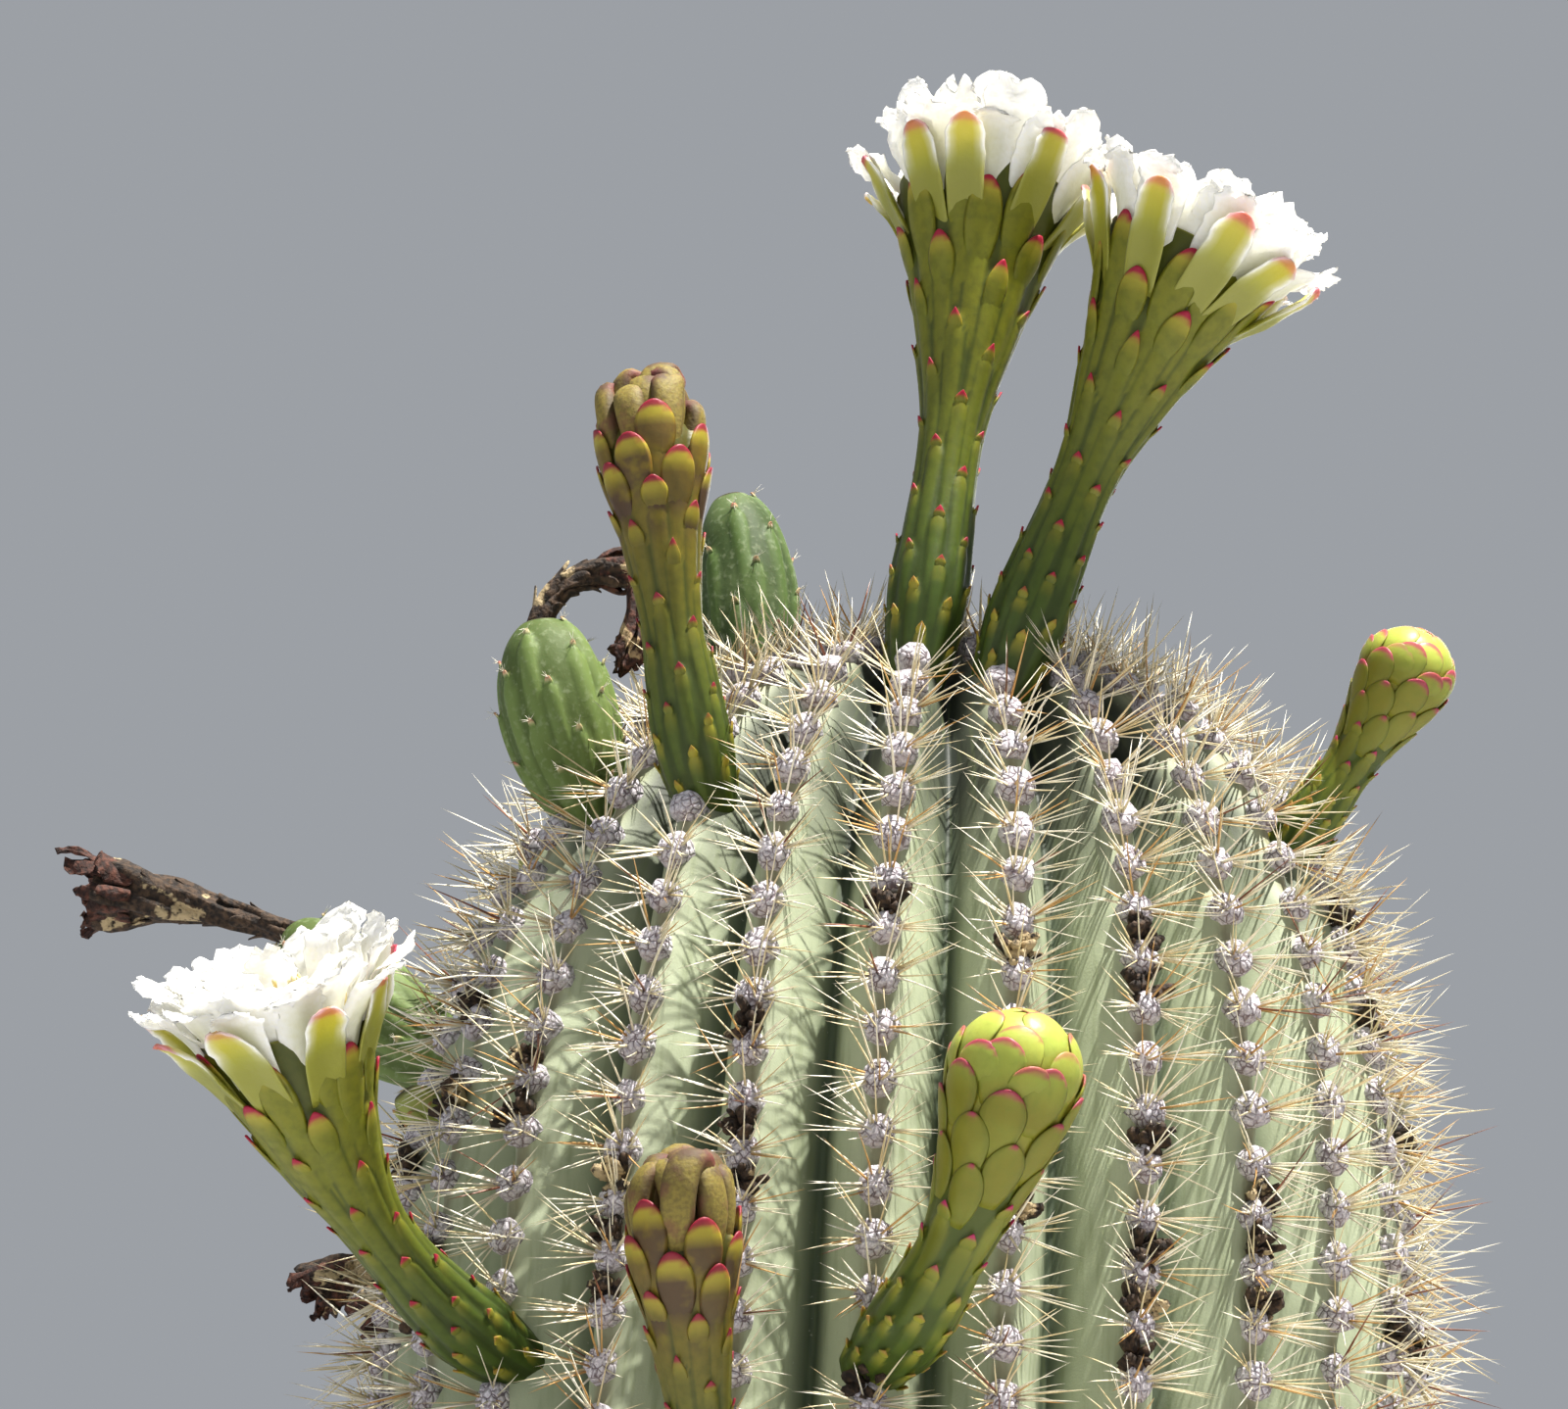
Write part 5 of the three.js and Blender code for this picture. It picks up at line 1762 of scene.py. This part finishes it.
# %% Young fruits
YOUNG_RADII = [(3.6, 0), (5.4, 0.45), (5.4, 0.75), (3.4, 0.96), (0.8, 1)]
YOUNG_GRID = 20, 24
YOUNG_SCALES = 12


def make_young_fruit(number, place):
    """A small egg with pink-tipped scales, as one piece."""
    chance = np.random.default_rng(450 + number)
    *seat, girth = place
    growth = on_stem(*seat)
    node = f"young_fruit_{number}"
    radius, share, turn = lathe_grid(YOUNG_RADII, girth, *YOUNG_GRID)
    fruit = Mould()
    fruit.add(lathe(growth, radius, share, turn), *YOUNG_GRID, groove=0.15 + 0 * share,
              end=ramp(share, 0.9, 1))
    tip = np.linspace(0.45, 0.95, YOUNG_SCALES) * growth.length
    points, s = scales(growth, radius_of(YOUNG_RADII, girth), tip, spiral(YOUNG_SCALES, 0, chance), 4.0, 1.3,
                       1.2, 0.7, 0.7, 0.6, 1.8)
    fruit.add(points, 8, 8, blush=ramp(s, 0.8, 0.95) * 0.6)
    fruit.make(f"{node}_body", [YOUNG_FRUIT], "fruit", [node])


for number, place in enumerate(YOUNG_FRUITS, 1):
    make_young_fruit(number, place)

# %% [markdown]
# ## The finish of dry flowers
#
# A flower that has set fruit dries brown and peels in cream flakes. Two noises do it: a fine one deals dark
# and light brown, and where a coarse one rises over a sharp edge a flake shows.

# %% Finishes of dry flowers
def dried_finish(name, dark, light, flake, flaking):
    """Rough brown of two tones, with flakes where the coarse noise is over flaking."""
    finish = Finish(name, 0.85)
    grain = finish.noise(1.4, 4)
    patch = finish.noise(9, 5)
    colour = finish.coats(
        dark,
        (grain.between(0.35, 0.7), light),
        (patch.between(flaking, flaking + 0.03) * grain.between(0.3, 0.5), flake),
    )
    return finish.done(colour, grain + 1.5 * patch, 0.8, 1.0)


DRIED = dried_finish("dried_bark", 0x1F1610, 0x54402F, 0xB7A27C, 0.56)
SHRED = dried_finish("dried_petal", 0x2A1813, 0x623A2C, 0xB59A74, 0.6)
print("finishes:", DRIED.name, SHRED.name)

# %% [markdown]
# ## Withered flowers
#
# A withered flower is a twisted brown horn with petals shrunk to dark curled shreds. Its skin wrinkles
# lengthwise: sine waves round the lathe, wound along it. Two hang on the stem and two on the ends of
# fruits, one of them bent right over.

# %% Dried flowers
DRIED_RADII = [(2.4, 0), (2.7, 0.3), (3.8, 0.55), (6, 0.8), (7.4, 0.96), (5, 0.93), (1, 0.8)]
STALK_RADII = [(2.6, 0), (2.5, 0.4), (3, 0.8), (3.2, 0.95), (1, 1)]
HORN_GRID = 56, 40
HORN_SCALES = 16
# On a fruit: which one, counted from 0, then the point to bend towards and the end.
DRIED_ON_FRUIT = (2, (-141, 18, 226), (-164, 20, 229))
DRIED_AND_BENT = (0, (-67, -45, 279), (-46, -42, 277))
HANGING_PETALS = ((-48, -42, 279), (-45.5, -42, 266.5), (-50, -42, 256))
HANGING_COUNT = 13


def wrinkled(growth, radii, girth, grid, seed):
    """A lathe with lengthwise wrinkles that wind round it, and swellings along it."""
    radius, share, turn = lathe_grid(radii, girth, *grid)
    wind = turn + 1.6 * share
    folds = 0.16 * np.sin(5 * wind + seed) + 0.07 * np.sin(11 * wind + 9 * share)
    swell = 0.08 * np.sin(23 * share + 2 * turn + seed)
    return lathe(growth, radius + radius * (folds + swell) * ramp(radius, 0.5, 2), share, turn)


def add_shreds(mould, growth, count, root, reach, half, chance):
    """Curled dry petals round the end of a horn."""
    line = [(root, -10), (root + 1.2, -6), (root + 2.8, -1.5), (root + 2, 2.5)]
    lines = strayed(count, [(radius * reach, distance) for radius, distance in line], 1, 1.5, chance)
    turn = staggered(count, 0, 0.2, chance)
    half = half * chance.uniform(0.6, 1.2, count)
    points, _ = petals(growth, turn, lines, half, 0.7, chance, cup=1.2, ruffle=1.3, nick=0.35, foot=0.7,
                       widest=0.6, rows=10, sides=12)
    mould.add(points, 10, 12)


def make_dried(number, growth, radii, girth, shreds):
    """The horn with a few lifted scales, then what is left of its petals, as two pieces."""
    chance = np.random.default_rng(500 + number)
    node = f"dried_flower_{number}"
    horn, petals_left = Mould(), Mould()
    horn.add(wrinkled(growth, radii, girth, HORN_GRID, number), *HORN_GRID)
    tip = np.linspace(0.2, 0.85, HORN_SCALES) * growth.length
    points, _ = scales(growth, radius_of(radii[:5], girth), tip, spiral(HORN_SCALES, 0, chance), 5 * girth,
                       1.4 * girth, 0.8, chance.uniform(0.3, 1.8, HORN_SCALES) * girth, 0.6, 0.5, 1.6)
    horn.add(points, 8, 8)
    horn.make(f"{node}_horn", [DRIED], "dried_flower", [node])
    add_shreds(petals_left, growth, *shreds, chance)
    petals_left.make(f"{node}_shreds", [SHRED], "dried_flower", [node])


def from_fruit(fruit, bend, tip):
    """The growth line of a withered flower that starts inside a fruit's end."""
    _, _, below, end, _ = FRUITS[fruit]
    below, end = np.array(below, float), np.array(end, float)
    return Growth(end - 3 * unit(end - below), bend, tip)


def make_hanging_petals():
    """The bent horn's petals, a bunch of shreds that hangs from its end."""
    chance = np.random.default_rng(505)
    bunch = Mould()
    lines = strayed(HANGING_COUNT, [(1.2, 0), (3.2, 7), (3.6, 15), (1.8, 23)], 1, 1.2, chance)
    half = 2.2 * chance.uniform(0.6, 1.2, HANGING_COUNT)
    turn = np.arange(HANGING_COUNT) * GOLDEN_TURN
    points, _ = petals(Growth(*HANGING_PETALS), turn, lines, half, 0.8, chance, cup=1.3, ruffle=1.4,
                       nick=0.35, foot=0.8, widest=0.5, rows=12, sides=12, past=0)
    bunch.add(points, 12, 12)
    bunch.make("dried_flower_4_petals", [SHRED], "dried_flower", ["dried_flower_4"])


for number, place in enumerate(DRIED_ON_STEM, 1):
    make_dried(number, on_stem(*place), DRIED_RADII, 0.8, (9, 4.5, 0.8, 2.2))
make_dried(3, from_fruit(*DRIED_ON_FRUIT), DRIED_RADII, 1.0, (11, 6, 1.0, 2.8))
make_dried(4, from_fruit(*DRIED_AND_BENT), STALK_RADII, 1.0, (7, 2.6, 1.0, 2.0))
make_hanging_petals()

# %% [markdown]
# ## Bud scars
#
# Above many areoles a brown crumbly stub is all that is left of a bud: a bunch of short, blunt shards that
# lean apart. In front they stand where they were seen, by rib and by areole; behind they are scattered by
# chance.

# %% Bud scars
SCARS_SEEN = [
    (2, 14), (2, 15), (2, 11), (2, 9), (3, 10), (3, 9), (3, 8), (2, 8), (2, 7), (0, 6), (0, 15), (1, 14),
    (1, 9), (23, 13), (23, 11), (23, 10), (22, 10), (22, 9), (22, 8), (21, 13), (21, 12), (20, 15), (20, 13),
    (20, 10), (20, 9), (19, 12), (19, 10), (18, 14), (18, 13),
]
SCAR_RISE = 4.6  # above its areole's middle
SHARDS_EACH = 14
SHARD_SIDES = 5
SHARD_SHARES = np.array([0.0, 0.4, 0.8, 1.0])
SHARD_GIRTHS = np.array([0.8, 1.0, 0.95, 0.6])


def scarred(chance):
    """Which areoles carry a scar: those seen in front, and about one in six of those behind."""
    seen = np.zeros(len(AREOLE_RIB), bool)
    for rib, number in SCARS_SEEN:
        seen |= (AREOLE_RIB == rib) & (AREOLE_NUMBER == number)
    behind = (AREOLE_RIB > 4) & (AREOLE_RIB < 18) & (AREOLE_NUMBER > 6) & (AREOLE_NUMBER < 22)
    return seen | behind & (chance.uniform(0, 1, len(seen)) < 0.17)


def make_scars():
    """Bunches of dark shards as one piece; returns how many there are."""
    chance = np.random.default_rng(31)
    seen = scarred(chance)
    centre = stem_point(AREOLE_AZIMUTH, AREOLE_ALONG + SCAR_RISE, -1.6)[seen]
    normal, upward, sideways = (axis[seen] for axis in crest_frame(AREOLE_AZIMUTH, AREOLE_ALONG + SCAR_RISE))
    every = len(centre), SHARDS_EACH
    turn = chance.uniform(0, 2 * np.pi, every)
    lean = chance.uniform(0.2, 1.0, every)
    flat = along_skin(turn, upward, sideways)
    direction = unit(np.sin(lean)[..., None] * flat + np.cos(lean)[..., None] * normal[:, None])
    base = centre[:, None] + flat * chance.uniform(0, 1.9, (*every, 1)) - normal[:, None] * 1.5
    length = chance.uniform(2.8, 6.4, every).ravel()
    girth = chance.uniform(0.7, 1.6, every).ravel()
    base, direction = base.reshape(-1, 3), direction.reshape(-1, 3)
    rings = len(base), len(SHARD_SHARES)
    wide = girth[:, None] * SHARD_GIRTHS * chance.uniform(0.75, 1.25, rings)
    bump = chance.uniform(0.7, 1.3, (*rings, SHARD_SIDES))
    middle = base[:, None] + direction[:, None] * (length[:, None] * SHARD_SHARES)[..., None]
    pair = square_pair(direction, [0.2, 0.3, 0.9])
    shards = rings_round(middle, pair, wide[..., None] * bump, SHARD_SIDES)
    scars = Mould()
    scars.add(with_poles(shards, base, middle[:, -1]), len(SHARD_SHARES), SHARD_SIDES)
    scars.make("bud_scars", [DRIED], "dried_flower")
    return len(centre)


print("scars:", make_scars())

# %% [markdown]
# ## The stage
#
# The photograph looks up at the stem from below, so the camera is lower than the cut. The part stands on a
# plain round plinth above a wide pale floor, which keeps the floor under the camera. The plinth is darker
# than the floor, because the key light falls full on its top.

# %% Plinth and floor
FLOOR_HEIGHT = -1.25
FLOOR_REACH = 30.0
FLOOR_TONE = 0.84
PLINTH_RADIUS = 0.17
PLINTH_SIDES = 96
PLINTH_TONE = 0.5
# The drum's rings: share of its radius and height, with a small round at the upper rim.
PLINTH_RINGS = [(0.0, FLOOR_HEIGHT), (1.0, FLOOR_HEIGHT), (1.0, -0.0035), (0.992, -0.001), (0.98, -0.0004),
                (0.0, -0.0004)]


def make_stage(name, points, faces, tone):
    """A piece of the stage in a plain matt grey of a tone, with the faintest of clouds."""
    finish = Finish(f"{name}_grey", 0.8)
    low, high = ((grey, grey, grey + 0.01, 1) for grey in (tone, tone + 0.04))
    mesh = bpy.data.meshes.new(name)
    mesh.from_pydata(points, [], faces)
    mesh.materials.append(finish.done(finish.mix(finish.noise(900, 2), low, high)))
    thing = bpy.data.objects.new(name, mesh)
    bpy.context.collection.objects.link(thing)
    thing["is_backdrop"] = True


corners = [(-1, -1), (1, -1), (1, 1), (-1, 1)]
make_stage("floor", [(x * FLOOR_REACH, y * FLOOR_REACH, FLOOR_HEIGHT) for x, y in corners], [(0, 1, 2, 3)],
           FLOOR_TONE)
rim = PLINTH_RADIUS * np.stack([np.cos(circle(PLINTH_SIDES)), np.sin(circle(PLINTH_SIDES))], -1)
drum = [np.column_stack([rim * share, np.full(PLINTH_SIDES, height)]) for share, height in PLINTH_RINGS]
around = tube_faces(len(PLINTH_RINGS), PLINTH_SIDES)[0] - 1
make_stage("plinth", np.concatenate(drum).tolist(), around.tolist(), PLINTH_TONE)
print("floor at", FLOOR_HEIGHT, "m")

# %% [markdown]
# ## Light
#
# The key light is high and to the right, as the sun was, and small, so that every spine throws a crisp
# shadow. A broad fill from the left and a pale world lift the shadows as the sky did, and a light behind
# lets the far rims stand out.

# %% Lights and world
AIM = (0.0, 0.0, 0.2)
WORLD_COLOUR = (0.74, 0.78, 0.84, 1)
WORLD_STRENGTH = 0.45


def area_light(name, location, size, power, colour):
    """A round lamp that looks at the aim: pitched by its height over it, turned by its bearing from it."""
    light = bpy.data.lights.new(name, "AREA")
    light.shape = "DISK"
    light.size = size
    light.energy = power
    light.color = colour
    lamp = bpy.data.objects.new(name, light)
    lamp.location = location
    toward = np.subtract(AIM, location)
    pitch = np.arctan2(np.hypot(toward[0], toward[1]), -toward[2])
    lamp.rotation_euler = (pitch, 0, np.arctan2(-toward[0], toward[1]))
    bpy.context.collection.objects.link(lamp)


area_light("key", (0.95, -0.8, 3.0), 0.055, 285, (1.0, 0.97, 0.91))
area_light("fill", (-2.6, -2.4, 0.3), 2.6, 11, (0.93, 0.96, 1.0))
area_light("back", (0.6, 2.8, 1.6), 2.0, 40, (0.97, 0.98, 1.0))

world = bpy.data.worlds.new("pale_studio")
bpy.context.scene.world = world
world.use_nodes = True
world.node_tree.nodes["Background"].inputs["Color"].default_value = WORLD_COLOUR
world.node_tree.nodes["Background"].inputs["Strength"].default_value = WORLD_STRENGTH
bpy.context.scene.view_settings.view_transform = "Standard"
print("lights:", len(bpy.data.lights))

# %% [markdown]
# ## Camera
#
# A long lens from 3 m away gives the photograph's flat perspective. It looks up by 20 degrees at the point
# that the middle of the photograph shows.

# %% Camera
SIGHT_POINT = np.array([-17.0, 0.0, 263.4])
CAMERA_DISTANCE = 3000.0
CAMERA_RISE = np.radians(20)
PHOTO_WIDTH = 1600
PIXELS_PER_SLOPE = 14490  # what a slope of one takes up in the photograph
SENSOR = 36.0


def make_camera():
    """The camera behind its sight point, on a line that rises by the camera's rise."""
    lens = bpy.data.cameras.new("camera")
    lens.sensor_width = SENSOR
    lens.lens = PIXELS_PER_SLOPE / PHOTO_WIDTH * SENSOR
    lens.clip_end = 200
    camera = bpy.data.objects.new("camera", lens)
    look = np.array([0, np.cos(CAMERA_RISE), np.sin(CAMERA_RISE)])
    camera.location = (SIGHT_POINT - CAMERA_DISTANCE * look) * MM
    camera.rotation_euler = (np.pi / 2 + CAMERA_RISE, 0, 0)
    bpy.context.collection.objects.link(camera)
    bpy.context.scene.camera = camera
    print("focal length:", round(lens.lens), "mm")


make_camera()

# %% Write the two boxes and finish
view_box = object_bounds()
for name, box in (("solids:", cad_box), ("dressed:", view_box)):
    print(name, [[round(v, 4) for v in corner] for corner in box])
